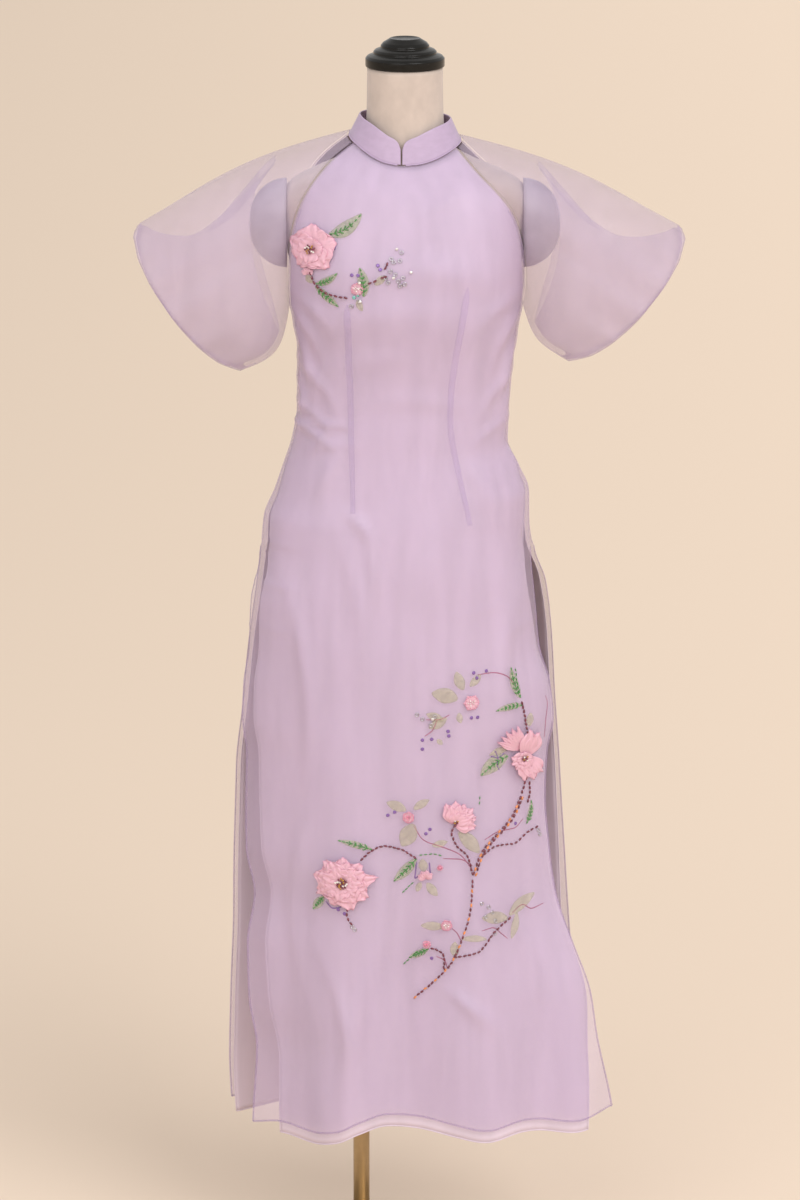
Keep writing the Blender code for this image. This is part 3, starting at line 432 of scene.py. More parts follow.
# Turquoise chips, purple dots, silver rings and loose pearls, by x and z.
TURQUOISE = ((-0.0700, 1.3205), (-0.0655, 1.3240))
DOTS = (
    (0.099, 0.824), (0.087, 0.816), (0.083, 0.823), (0.080, 0.764), (0.088, 0.764),
    (0.050, 0.748), (0.051, 0.742), (0.017, 0.737), (0.029, 0.738), (0.017, 0.725),
    (-0.028, 0.636), (-0.019, 0.640), (0.027, 0.618), (0.022, 0.612), (-0.092, 0.508),
    (-0.084, 0.503), (0.030, 0.443), (0.138, 0.612), (-0.073, 1.349), (-0.065, 1.349),
    (-0.040, 1.362), (-0.037, 1.357),
)
RINGS = (
    (0.0100, 0.7710), (0.0170, 0.7650), (0.0280, 0.7570), (0.0330, 0.7680), (0.0940, 0.5140),
    (0.1030, 0.5080), (0.0990, 0.4960), (0.1080, 0.5000), (0.1120, 0.4880), (0.1110, 0.4720),
    (-0.0740, 0.4860), (-0.0710, 0.4820), (-0.0200, 1.3660), (-0.0230, 1.3700), (-0.0120, 1.3680),
    (-0.0100, 1.3780), (-0.0240, 1.3550), (-0.0300, 1.3470), (-0.0270, 1.3410), (-0.0180, 1.3510),
    (-0.0140, 1.3430), (-0.0080, 1.3470), (-0.0120, 1.3370), (-0.0060, 1.3390), (-0.0730, 1.3090),
    (-0.0630, 1.3160), (0.1680, 0.5960), (0.1700, 0.5900),
)
RING_PEARLS = (
    (0.030, 0.765), (-0.016, 1.382), (-0.020, 1.347), (-0.062, 1.316), (-0.063, 1.340), (0.002, 1.354),
)
# Small flowers of beads and short petals: place, radius, count of petals and whether the heart is white.
SMALL_FLOWERS = (
    (0.080, 0.784, 0.0110, 6, 1),
    (-0.001, 0.633, 0.0085, 6, 0),
    (0.049, 0.488, 0.0080, 6, 1),
    (-0.066, 1.332, 0.0090, 5, 1),
    (0.040, 0.566, 0.0040, 3, 0),
    (0.024, 0.462, 0.0060, 4, 0),
)
# Buds: place and radius.
BUDS = ((0.022, 0.552, 0.0095), (-0.128, 1.346, 0.0070))

# Large flowers: node, place, and rings of petals from the outside in. Each ring has its count, its
# reach, half width, how far it tilts up from the cloth, its first angle, the fan that it covers, and
# how far its middle is moved in x and z.
FLOWERS = {
    "chest_flower": (
        -0.1215,
        1.3790,
        (
            (5, 0.0300, 0.0190, 12.0, 20.0, 360.0, 0.0, 0.0),
            (3, 0.0240, 0.0165, 20.0, 160.0, 150.0, -0.002, -0.002),
            (3, 0.0170, 0.0120, 32.0, 20.0, 360.0, -0.002, -0.002),
        ),
    ),
    "skirt_flower_large": (
        -0.0863,
        0.5456,
        (
            (9, 0.0370, 0.0165, 12.0, 8.0, 360.0, 0.0, 0.0),
            (1, 0.0460, 0.0095, 10.0, 10.0, 360.0, 0.0, 0.0),
            (8, 0.0310, 0.0150, 20.0, 30.0, 360.0, 0.0, 0.0),
            (7, 0.0240, 0.0120, 28.0, 4.0, 360.0, 0.0, 0.0),
            (5, 0.0160, 0.0090, 38.0, 40.0, 360.0, 0.0, 0.0),
        ),
    ),
    "skirt_flower_side": (
        0.1475,
        0.6990,
        (
            (5, 0.0340, 0.0050, 14.0, 98.0, 54.0, -0.004, 0.013),
            (2, 0.0370, 0.0110, 14.0, 62.0, 20.0, 0.002, 0.002),
            (3, 0.0330, 0.0100, 14.0, -92.0, 44.0, 0.002, 0.0),
            (5, 0.0180, 0.0085, 26.0, 165.0, 130.0, 0.0, 0.0),
            (4, 0.0110, 0.0060, 42.0, 0.0, 360.0, 0.0, 0.0),
        ),
    ),
    "skirt_flower_half_open": (
        0.0595,
        0.6250,
        (
            (6, 0.0290, 0.0105, 12.0, -16.0, 132.0, 0.0, 0.0),
            (5, 0.0240, 0.0095, 22.0, -4.0, 112.0, 0.0, 0.0),
            (4, 0.0170, 0.0075, 34.0, 16.0, 84.0, 0.0, 0.0),
        ),
    ),
}

# ---- the dress form and stand -------------------------------------------------------------------
FORM_EASE = 0.0085
FORM_BOTTOM = 0.840
FORM_SHOULDER_FACE = 0.152
FORM_HIP = 1.020
FORM_TUCK = 0.13  # how far the form draws in from FORM_HIP to its bottom
SHOULDER_START = 1.39  # from here up the form's own sections take over from the tunic's
NECK_ROUND_START = 1.47
NECK_ROUND_RISE = 0.04
NECK_TOP = 1.5987
SHOULDER_COLUMNS = ("z", "half_width", "front", "back")
SHOULDERS = (
    (1.420, 0.1600, 0.0910, 0.0840),
    (1.435, 0.1580, 0.0820, 0.0790),
    (1.450, 0.1480, 0.0720, 0.0720),
    (1.465, 0.1230, 0.0610, 0.0640),
    (1.480, 0.0880, 0.0500, 0.0560),
    (1.495, 0.0630, 0.0470, 0.0480),
    (1.510, 0.0525, 0.0480, 0.0430),
    (1.535, 0.0495, 0.0475, 0.0415),
    (1.600, 0.0485, 0.0485, 0.0485),
)
PLATE_HALF = (0.044, 0.058)
PLATE_CENTRE = 1.396
PLATE_OUT = 0.048
PLATE_TIP = 0.1  # a plate's last ring, as a share of its first
CAP_PROFILE = (
    (0.0500, 0.0000), (0.0509, 0.0012), (0.0509, 0.0110), (0.0482, 0.0140), (0.0415, 0.0165),
    (0.0407, 0.0172), (0.0407, 0.0195), (0.0382, 0.0220), (0.0320, 0.0243), (0.0312, 0.0250),
    (0.0312, 0.0275), (0.0282, 0.0312), (0.0205, 0.0358), (0.0195, 0.0366), (0.0185, 0.0368),
    (0.0160, 0.0358), (0.0080, 0.0350),
)
POLE_X = -0.0635
POLE_RADIUS = 0.0108
BASE_RADIUS = 0.150
BASE_HEIGHT = 0.012
BASE_EDGE = 0.003
BOSS_RADIUS = 0.0240
BOSS_HEIGHT = 0.030
GAP = 0.0003

# The camera stands far off, a little above the form, with a long lens.
CAMERA_PLACE = (-0.012, -8.0, 2.87)
CAMERA_DOWN_DEG = 13.87
CAMERA_LENS_MM = 189.0


def linear(code):
    """sRGB hex to linear red, green and blue."""
    srgb = [int(code[i : i + 2], 16) / 255 for i in (1, 3, 5)]
    return tuple(c / 12.92 if c <= 0.04045 else ((c + 0.055) / 1.055) ** 2.4 for c in srgb)


def size_property(label, words, value):
    return bpy.props.FloatProperty(name=label, description=words, default=value, unit="LENGTH", precision=4)


def colour_property(label, words, code):
    return bpy.props.FloatVectorProperty(
        name=label, description=words, default=linear(code), subtype="COLOR", min=0.0, max=1.0
    )


class TunicSizes(bpy.types.PropertyGroup):
    """Sizes of cloth, thread and beads."""

    organza: size_property("Organza", "Thickness of the organza", 0.0004)
    lining: size_property("Lining", "Thickness of the lining", 0.0005)
    collar: size_property("Collar", "Thickness of the collar's two plies and interfacing", 0.0018)
    hem_roll: size_property("Hem roll", "Radius of the rolled hem", 0.0012)
    dart_width: size_property("Dart width", "Width of a waist dart's fold", 0.0100)
    seam_allowance: size_property("Seam allowance", "Width of the seam turned in along the raglan", 0.0060)
    bead_length: size_property("Bead length", "Length of a bugle bead", 0.0056)
    bead_width: size_property("Bead width", "Width of a bugle bead", 0.0030)
    ring_radius: size_property("Ring radius", "Radius of a ring sequin", 0.0030)
    dot_radius: size_property("Dot radius", "Radius of a flat sequin dot", 0.0024)


class TunicColours(bpy.types.PropertyGroup):
    """Colours of the cloth, beads and thread."""

    organza: colour_property("Organza", "Sheer organza of the panels", "#D3BEDC")
    sleeve: colour_property("Sleeve", "Sheer organza of the sleeves", "#D4C2D8")
    lining: colour_property("Lining", "Taffeta lining", "#DCCCDA")
    collar: colour_property("Collar", "Collar cloth", "#BBA6C2")
    hem: colour_property("Hem", "Rolled hems, where the cloth is doubled", "#B79FC6")
    petal: colour_property("Petal", "Petal organza at the tips", "#F8C7D8")
    petal_heart: colour_property("Petal heart", "Petal organza at the heart", "#F2ABC7")
    bead: colour_property("Bead", "Maroon bugle beads", "#6A2636")
    knot: colour_property("Knot", "Orange bugle beads", "#D98549")
    leaf_thread: colour_property("Leaf thread", "Green silk of the leaves", "#4F8F4B")
    leaf_blade: colour_property("Leaf blade", "Pale green under the stitches", "#B9C49A")
    printed_leaf: colour_property("Printed leaf", "Faint olive leaves", "#CBC6A8")
    printed_stem: colour_property("Printed stem", "Rose stems", "#B9718C")
    dot: colour_property("Dot", "Purple sequins", "#8E6BB0")
    form: colour_property("Form", "Jersey cover of the dress form", "#C9B9AE")
    cap: colour_property("Cap", "Lacquered cap", "#161411")
    plate: colour_property("Plate", "Plates where arms would join", "#B3AAB8")
    stand: colour_property("Stand", "Brass-coloured stand", "#B29B78")
    floor: colour_property("Floor", "Plain pale floor", "#EBD7C3")


def sizes():
    return bpy.context.scene.tunic_sizes


def colours():
    return bpy.context.scene.tunic_colours


# ---- reading tables and surfaces ----------------------------------------------------------------
def unit(vectors):
    return vectors / np.maximum(np.linalg.norm(vectors, axis=-1, keepdims=True), 1e-12)


def smoothstep(t):
    t = np.clip(t, 0.0, 1.0)
    return t * t * (3 - 2 * t)


def read(table, columns, name, at):
    """A column of a table at any value of its first: a cubic through the rows that never overshoots."""
    values = np.array(table, float)
    x = values[:, 0]
    y = values[:, columns.index(name)]
    step = np.diff(x)
    rise = np.diff(y) / step
    slope = np.zeros(len(x))
    same = rise[:-1] * rise[1:] > 0
    before = 2 * step[1:] + step[:-1]
    after = step[1:] + 2 * step[:-1]
    with np.errstate(divide="ignore", invalid="ignore"):
        mean = (before + after) / (before / rise[:-1] + after / rise[1:])
    slope[1:-1] = np.where(same, mean, 0.0)
    slope[0], slope[-1] = rise[0], rise[-1]
    at = np.clip(np.asarray(at, float), x[0], x[-1])
    i = np.clip(np.searchsorted(x, at, side="right") - 1, 0, len(x) - 2)
    t = (at - x[i]) / step[i]
    start = (1 + 2 * t) * (1 - t) ** 2 * y[i] + t * (1 - t) ** 2 * step[i] * slope[i]
    end = t * t * (3 - 2 * t) * y[i + 1] + t * t * (t - 1) * step[i] * slope[i + 1]
    return start + end


def lining_inset(z):
    return LINING_INSET + (LINING_HANG - LINING_INSET) * smoothstep((HANG_TOP - z) / HANG_RISE)


def fold_depth(folds, x, z):
    """The sum of the long folds: each a bell across, growing towards the hem as a smooth step."""
    total = np.zeros(np.broadcast(x, z).shape)
    for x_top, x_hem, z_top, width, depth in folds:
        down = np.clip((z_top - z) / (z_top - HEM), 0.0, 1.0)
        line = x_top + (x_hem - x_top) * down
        total = total + depth * smoothstep(down) * np.exp(-(((x - line) / width) ** 2))
    return total


def cloth_y(side, x, z, inset, trim=(0.0, 0.0)):
    """Y of the tunic: edge depth plus (middle - edge) times (1 - |u|^2.3)^softness, plus the folds.

    Trim brings the two sides of the section in, where a seam closes the lining nearer the body.
    """
    sections, folds = (FRONT_SECTIONS, FRONT_FOLDS) if side < 0 else (BACK_SECTIONS, BACK_FOLDS)
    left = read(sections, SECTION_COLUMNS, "left", z) + inset + trim[0]
    right = read(sections, SECTION_COLUMNS, "right", z) - inset - trim[1]
    edge = read(sections, SECTION_COLUMNS, "edge", z)
    middle = read(sections, SECTION_COLUMNS, "middle", z) - inset
    softness = read(sections, SECTION_COLUMNS, "softness", z)
    u = np.clip(np.abs((2 * x - left - right) / (right - left)), 0.0, 1.0)
    depth = edge + (middle - edge) * (1 - u**SECTION_POWER) ** softness
    free = np.where(edge > 0, inset, 0.0)
    depth = np.maximum(depth + fold_depth(folds, x, z) - free * u, 0.0)
    return side * (SEAM + depth)


def drape(side, x, z):
    """Height of the creases and the slow unevenness over the smooth surface, never below it.

    A crease is a bell across its line times a bell along it. The unevenness is a sum of sine waves.
    """
    total = np.full(np.broadcast(x, z).shape, sum(wave[3] for wave in UNEVEN) * 0.5)
    for across, up, phase, height in UNEVEN:
        total = total + 0.5 * height * np.sin(2 * math.pi * (across * x + up * z) + phase + side)
    for cx, cz, turn, length, width, height in FRONT_CREASES if side < 0 else BACK_CREASES:
        c, s = math.cos(math.radians(turn)), math.sin(math.radians(turn))
        along = (x - cx) * c + (z - cz) * s
        across = -(x - cx) * s + (z - cz) * c + CREASE_BOW * along**2 / length
        total = total + CREASE_RISE * height * np.exp(-((along / length) ** 2) - (across / width) ** 2)
    return total


def neck_point(degrees, which):
    """The neckline or the collar's top edge: an ellipse seen from above, its height read by angle."""
    half_width, half_depth = NECK_BASE_HALF if which == "base" else NECK_TOP_HALF
    turn = np.radians(degrees)
    x = CENTRE - half_width * np.sin(turn)
    y = NECK_MIDDLE_Y - half_depth * np.cos(turn)
    x = x + SLIT_X * np.clip(np.cos(turn), 0.0, 1.0) ** 4
    turned = np.abs((np.asarray(degrees, float) + 180.0) % 360.0 - 180.0)
    z = read(NECK, NECK_COLUMNS, which, turned) - NECK_TILT * (x - CENTRE)
    return np.stack([x, y, z], axis=-1)


def normals_of(points):
    """Unit normals of a grid of points: the cross product of its two directions."""
    down, across = np.gradient(points, axis=0), np.gradient(points, axis=1)
    return unit(np.cross(across, down))


def column_places(columns, softness):
    """Places across each row from -1 to 1: crowded to its sides, and more even where the row is soft."""
    even = np.linspace(-1.0, 1.0, columns + 1)
    close = np.sin(even * math.pi / 2)
    share = np.clip((softness - WRAPPED) / SPREAD_OVER, 0.0, 1.0)[:, None] * EVEN_SHARE
    return (1 - share) * close + share * even


def skirt_points(side, columns, rows, lining):
    """Rows of a panel from its hem up to the underarm."""
    sections = FRONT_SECTIONS if side < 0 else BACK_SECTIONS
    hem = FRONT_HEM if side < 0 else BACK_HEM
    level = np.linspace(HEM, UNDERARM, rows + 1)
    left = read(sections, SECTION_COLUMNS, "left", level)
    right = read(sections, SECTION_COLUMNS, "right", level)
    inset = lining_inset(level) if lining else np.zeros(len(level))
    trim = (0.0, 0.0)
    if lining:
        name = "front" if side < 0 else "back"
        closed = smoothstep((level - JOIN_START) / JOIN_RISE)
        trims = [read(LINING_EDGES, LINING_EDGE_COLUMNS, name + way, level) for way in ("_left", "_right")]
        left, right = left + trims[0], right - trims[1]
        trim = [(edge * closed)[:, None] for edge in trims]
    place = column_places(columns, read(sections, SECTION_COLUMNS, "softness", level))
    x = (left + (right - left) * (place.T + 1) / 2).T
    fade = smoothstep(1 - (level - HEM) / HEM_RISE)[:, None]
    drop = LINING_DROP if lining else 0.0
    z = level[:, None] + (read(hem, HEM_COLUMNS, "z", x) - HEM - drop) * fade
    return np.stack([x, cloth_y(side, x, z, inset[:, None], trim), z], axis=-1)


def yoke_points(side, columns, rows, lining):
    """Rows of a panel above the underarm, between the raglan seams, up to the neckline."""
    share = np.linspace(0.0, 1.0, rows + 1)[1:]
    place = column_places(columns, np.full(len(share), WRAPPED))
    inset = LINING_INSET if lining else 0.0
    neck_deg = FRONT_NECK_DEG if side < 0 else BACK_NECK_DEG
    edge = {name: read(RAGLAN, RAGLAN_COLUMNS, name, share) for name in RAGLAN_COLUMNS[1:]}
    trim = LINING_RAGLAN_IN * inset * smoothstep(share / RAGLAN_RISE)
    left, right = edge["left_x"] + inset + trim, edge["right_x"] - inset - trim
    across = (place + 1) / 2
    x = left[:, None] + (right - left)[:, None] * across
    z = edge["left_z"][:, None] + (edge["right_z"] - edge["left_z"])[:, None] * across
    if side < 0:
        angles = neck_deg * -place[-1]
    else:
        angles = 180.0 + (180.0 - neck_deg) * place[-1]
    neckline = neck_point(angles, "base")
    neckline[:, 2] -= LINING_NECK_DROP * inset if lining else CLOTH_WALL
    bend = share[:, None] ** YOKE_BEND
    x = x + (neckline[:, 0] - x[-1]) * bend
    z = z + (neckline[:, 2] - z[-1]) * bend
    y = cloth_y(side, x, z, inset)
    settle = neckline[:, 1] - side * LINING_NECK_IN * inset - y[-1]
    y = y + settle * share[:, None] ** YOKE_SETTLE
    return np.stack([x, y, z], axis=-1)


def panel_points(side, columns, rows, lining=False):
    """The whole panel with its creases, hem to neckline, its columns running so that it faces out."""
    skirt_rows, yoke_rows = rows
    points = np.concatenate(
        [skirt_points(side, columns, skirt_rows, lining), yoke_points(side, columns, yoke_rows, lining)]
    )
    points = points if side < 0 else points[:, ::-1]
    x, z = points[..., 0], points[..., 2]
    even = np.linspace(-1.0, 1.0, points.shape[1])
    seam = np.where(z > CREASED_BELOW, smoothstep((1 - np.abs(even)) / SEAM_FLAT), 1.0)
    neck = smoothstep(np.linspace(points.shape[0] - 1, 0.0, points.shape[0]) / NECK_FLAT_ROWS)[:, None]
    height = drape(side, x, z) * seam * neck
    moved = points + normals_of(points) * height[..., None]
    limit = side * SEAM
    moved[..., 1] = np.minimum(moved[..., 1], limit) if side < 0 else np.maximum(moved[..., 1], limit)
    return moved


def on_front(x, z, lift):
    """Points on the front organza and their outward normals, by x and z, moved out by lift."""
    x, z = np.asarray(x, float), np.asarray(z, float)
    step = 0.0005
    slope_x = (cloth_y(-1, x + step, z, 0.0) - cloth_y(-1, x - step, z, 0.0)) / (2 * step)
    slope_z = (cloth_y(-1, x, z + step, 0.0) - cloth_y(-1, x, z - step, 0.0)) / (2 * step)
    normal = unit(np.stack([slope_x, -np.ones_like(x), slope_z], axis=-1))
    base = np.stack([x, cloth_y(-1, x, z, 0.0), z], axis=-1)
    return base + normal * (drape(-1, x, z) + lift)[..., None], normal


# ---- sleeves ------------------------------------------------------------------------------------
SLEEVE_YOKE_ROWS = 56
NECK_ARC_POINTS = 7
LOOP_COLUMNS = 16  # the panels are this coarse where only their edges are read
LOOP_SKIRT_ROWS = 18
GATHERS = 38  # fine gathers round a hem, their spacing shifted by GATHER_SHIFT times GATHER_WAVES
GATHER_SHIFT = 1.7
GATHER_WAVES = 5
GATHER_START = 0.82
GATHER_HEIGHT = 0.0006
INNER_GATHER_HEIGHT = 0.0012
SEAM_FADE = 0.15  # folds fade out over this share of the sleeve next to its raglan seam
FOLD_SHARE = 0.7  # how much of a fold's height the outer ply shows, and the inner one
INNER_FOLD_SHARE = 0.5
INNER_START = 0.995  # the inner ply starts at this share of the sleeve's length
INNER_FOLD_SHIFT = 0.16
INNER_FOLD_FADE = 0.6
INNER_SAG_POWER = 0.75


def armhole_loop(which):
    """The raglan seam as a loop: from the neck down the front, round the underarm and up the back."""
    front = yoke_points(-1, LOOP_COLUMNS, SLEEVE_YOKE_ROWS, False)
    back = yoke_points(1, LOOP_COLUMNS, SLEEVE_YOKE_ROWS, False)
    column = 0 if which == "left" else -1
    underarm = skirt_points(-1, LOOP_COLUMNS, LOOP_SKIRT_ROWS, False)[-1, column] * (1, 0, 1)
    sign = 1.0 if which == "left" else -1.0
    middle = (FRONT_NECK_DEG + BACK_NECK_DEG) / 2
    down = neck_point(sign * np.linspace(middle, FRONT_NECK_DEG, NECK_ARC_POINTS)[:-1], "base")
    up = neck_point(sign * np.linspace(BACK_NECK_DEG, middle, NECK_ARC_POINTS)[1:-1], "base")
    for arc in (down, up):
        arc[:, 2] -= CLOTH_WALL
    loop = np.concatenate([down, front[::-1, column], [underarm], back[:, column], up])
    return loop - (sign * ARMHOLE_GAP, 0.0, 0.0), len(down) + SLEEVE_YOKE_ROWS


def sleeve_grid(which, shares):
    """Rings from the armhole to the hem: a blend of the two loops, swollen by the sine of the share.

    The hem is an ellipse across the line between its ends, bowed outwards by |sin| of the angle.
    """
    row = dict(zip(SLEEVE_COLUMNS, SLEEVES[which]))
    loop, middle = armhole_loop(which)
    lengths = np.linalg.norm(np.diff(np.concatenate([loop, loop[:1]]), axis=0), axis=1)
    travel = np.concatenate([[0.0], np.cumsum(lengths)[:-1]])
    angle = np.where(
        np.arange(len(loop)) <= middle,
        math.pi * travel / travel[middle],
        math.pi + math.pi * (travel - travel[middle]) / (lengths.sum() - travel[middle]),
    )
    tip = np.array([row["tip_x"], 0.0, row["tip_z"]])
    low = np.array([row["low_x"], 0.0, row["low_z"]])
    half = (tip - low) / 2
    along = half / np.linalg.norm(half)
    out = np.array([along[2], 0.0, -along[0]]) * (-1.0 if which == "left" else 1.0)
    front = np.array([0.0, -1.0, 0.0])
    cos, sin = np.cos(angle)[:, None], np.sin(angle)[:, None]
    hem = (tip + low) / 2 + half * cos + row["depth"] * front * sin + row["bow"] * out * np.abs(sin)
    hem[:, 2] -= HEM_TILT * hem[:, 1]
    radial = along * cos + front * sin
    ends = np.where(cos > 0, row["top_puff"], row["low_puff"]) * np.abs(cos)
    puff = ends + SLEEVE_SIDE_PUFF * np.abs(sin)
    shares = np.asarray(shares)[:, None, None]
    swell = np.sin(math.pi * shares) * puff * radial
    return loop * (1 - shares) + hem * shares + swell, radial, cos, angle


def sleeve_folds(angle, shares, gathers):
    """Soft folds that fan from the hem, with fine gathers close to it."""
    turn, share = np.degrees(angle)[None, :], np.asarray(shares)[:, None]
    total = np.zeros((len(shares), len(angle)))
    for at, width, start, height in SLEEVE_FOLDS:
        grow = smoothstep((share - start) / (1 - start))
        total = total + height * grow * np.exp(-(((turn - at) / width) ** 2))
    shift = GATHER_SHIFT * np.sin(np.radians(turn) * GATHER_WAVES)
    fine = np.sin(np.radians(turn) * GATHERS + shift)
    return total + gathers * (1 + fine) * smoothstep((share - GATHER_START) / (1 - GATHER_START))


def sleeve_points(which, rows=64):
    """Outer ply of the sleeve, from the raglan seam to the hem, with its folds."""
    shares = np.linspace(SLEEVE_START, 1.0, rows + 1)
    points, radial, _, angle = sleeve_grid(which, shares)
    seam = smoothstep(shares / SEAM_FADE)[:, None]
    folds = sleeve_folds(angle, shares, GATHER_HEIGHT) * seam * FOLD_SHARE
    return points + radial[None] * folds[..., None]


def inner_points(which, rows=52):
    """Inner ply of the sleeve: back up inside the outer ply from the hem, its top fallen in."""
    back = np.linspace(0.0, 1.0, rows + 1)
    outer, radial, cos, angle = sleeve_grid(which, INNER_START - INNER_REACH * back)
    fold = sleeve_folds(angle + INNER_FOLD_SHIFT, 1.0 - INNER_FOLD_FADE * back, INNER_GATHER_HEIGHT)
    back = back[:, None, None]
    sag = INNER_SAG * np.sin(math.pi * back**INNER_SAG_POWER) * np.clip(cos, 0.0, 1.0)
    tuck = INNER_TUCK * np.sin(math.pi * back / 2) * (1 - np.clip(cos, 0.0, 1.0))
    return outer - radial * (INNER_GAP + sag + tuck + INNER_FOLD_SHARE * fold[..., None])


# ---- making meshes ------------------------------------------------------------------------------
def grid_quads(rows, columns, closed=False, flip=False):
    """Quads of a grid as an array of point numbers."""
    i = np.arange(rows - 1)[:, None]
    j = np.arange(columns if closed else columns - 1)[None, :]
    k = (j + 1) % columns
    quads = np.stack([i * columns + j, i * columns + k, (i + 1) * columns + k, (i + 1) * columns + j], -1)
    quads = quads.reshape(-1, 4)
    return quads[:, ::-1] if flip else quads


def linked(name, data):
    made = bpy.data.objects.new(name, data)
    bpy.context.scene.collection.objects.link(made)
    return made


def add_piece(name, points, faces, material, slot, replaced=(), uv=None):
    """A finished object from points and faces, riding on the frame's one body."""
    points = np.asarray(points, float).reshape(-1, 3)
    mesh = bpy.data.meshes.new(name)
    mesh.from_pydata(points.tolist(), [], [list(map(int, face)) for face in faces])
    mesh.materials.append(material)
    mesh.shade_smooth()
    if uv is not None:
        layer = mesh.uv_layers.new(name="along")
        corner = np.empty(len(mesh.loops), np.int32)
        mesh.loops.foreach_get("vertex_index", corner)
        layer.data.foreach_set("uv", np.asarray(uv, np.float32).reshape(-1, 2)[corner].ravel())
    made = linked(name, mesh)
    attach(made, "root")
    if replaced:
        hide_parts(*replaced)
    return made


def thicken(made, thickness, offset=-1.0):
    wall = made.modifiers.new("wall", "SOLIDIFY")
    wall.thickness = thickness
    wall.offset = offset
    return made


def rounded(made, name, width, segments, least_degrees):
    """Rounds the edges of a piece that turn by at least so many degrees."""
    bevel = made.modifiers.new(name, "BEVEL")
    bevel.width = width
    bevel.segments = segments
    bevel.angle_limit = math.radians(least_degrees)


def cloth(name, points, material, slot, thickness, replaced=(), closed=False, flip=False):
    rows, columns = points.shape[:2]
    made = add_piece(name, points, grid_quads(rows, columns, closed, flip), material, slot, replaced)
    return thicken(made, thickness)


def ring_solid(rings, flip=False):
    """Points and faces of a solid through closed rings, its two ends closed by fans to their middles."""
    rings = np.asarray(rings, float)
    count, sides = rings.shape[:2]
    quads = grid_quads(count, sides, closed=True).tolist()
    points = np.concatenate([rings.reshape(-1, 3), [rings[0].mean(0)], [rings[-1].mean(0)]])
    first, last = count * sides, count * sides + 1
    j = np.arange(sides)
    k = (j + 1) % sides
    start = np.stack([np.full(sides, first), k, j], -1).tolist()
    top = (count - 1) * sides
    end = np.stack([np.full(sides, last), top + j, top + k], -1).tolist()
    faces = quads + start + end
    return points, [face[::-1] for face in faces] if flip else faces


def turned_solid(profile, centre, sides):
    """A profile of radii and heights carried round an upright axis."""
    turn = np.linspace(0.0, 2 * math.pi, sides, endpoint=False)
    circle = np.stack([np.cos(turn), np.sin(turn), np.zeros(sides)], axis=-1)
    profile = np.array(profile, float)
    rings = circle[None] * profile[:, :1, None] + profile[:, 1:, None] * (0.0, 0.0, 1.0)
    return ring_solid(rings + np.array(centre))


PATH_FINE = 200
PATH_BLUR = 15  # points of the fine path that one point is the mean of, an odd number


def smooth_path(points, step):
    """An even walk along a curve through the points: cubic in the length along the straight lines."""
    points = np.array(points, float)
    length = np.concatenate([[0.0], np.cumsum(np.linalg.norm(np.diff(points, axis=0), axis=1))])
    fine = np.linspace(0.0, length[-1], PATH_FINE)
    names = ("length",) + tuple(str(i) for i in range(points.shape[1]))
    table = np.concatenate([length[:, None], points], axis=1)
    curve = np.stack([read(table, names, name, fine) for name in names[1:]], axis=-1)
    kernel = np.ones(PATH_BLUR) / PATH_BLUR
    ends = (PATH_BLUR // 2, PATH_BLUR // 2)
    padded = np.pad(curve, (ends, (0, 0)), mode="reflect", reflect_type="odd")
    curve = np.stack([np.convolve(padded[:, i], kernel, "valid") for i in range(curve.shape[1])], -1)
    travel = np.concatenate([[0.0], np.cumsum(np.linalg.norm(np.diff(curve, axis=0), axis=1))])
    count = max(int(round(travel[-1] / step)), 2)
    at = np.linspace(0.0, travel[-1], count + 1)
    return np.stack([np.interp(at, travel, curve[:, i]) for i in range(curve.shape[1])], axis=-1)


def tube_rings(path, normal, radius, sides=8, flat=1.0):
    """Rings round a path: the radius across, and the radius times flat along the normal."""
    path = np.asarray(path, float)
    ahead = unit(np.gradient(path, axis=0))
    across = unit(np.cross(ahead, normal))
    up = np.cross(across, ahead)
    turn = np.linspace(0.0, 2 * math.pi, sides, endpoint=False)[None, :, None]
    radius = np.broadcast_to(np.asarray(radius, float), (len(path),))[:, None, None]
    return path[:, None] + radius * (across[:, None] * np.cos(turn) + up[:, None] * flat * np.sin(turn))


def repeated(template, places):
    """Copies of a small shape: each place is a 3 by 4 matrix. Returns the joined points and faces."""
    points, faces = template
    places = np.asarray(places, float)
    moved = np.einsum("nij,pj->npi", places[:, :, :3], points) + places[:, None, :, 3]
    tops = np.arange(len(places)) * len(points)
    joined = [[index + top for index in face] for top in tops for face in faces]
    return moved.reshape(-1, 3), joined


def joined(parts):
    """Several (points, faces) pairs as one."""
    points, faces, top = [], [], 0
    for part_points, part_faces in parts:
        points.append(np.asarray(part_points, float).reshape(-1, 3))
        faces += [[int(index) + top for index in face] for face in part_faces]
        top += len(points[-1])
    return np.concatenate(points), faces


def bead_shape(sides=8, rings=4):
    """A unit bead: circles whose radius is sin^0.6 along a length of 2."""
    share = np.linspace(0.08, math.pi - 0.08, rings)
    turn = np.linspace(0.0, 2 * math.pi, sides, endpoint=False)
    radius = np.sin(share)[:, None] ** 0.6
    rings_points = np.stack(
        [-np.cos(share)[:, None] + 0 * turn, radius * np.cos(turn), radius * np.sin(turn)], axis=-1
    )
    return ring_solid(rings_points, flip=False)


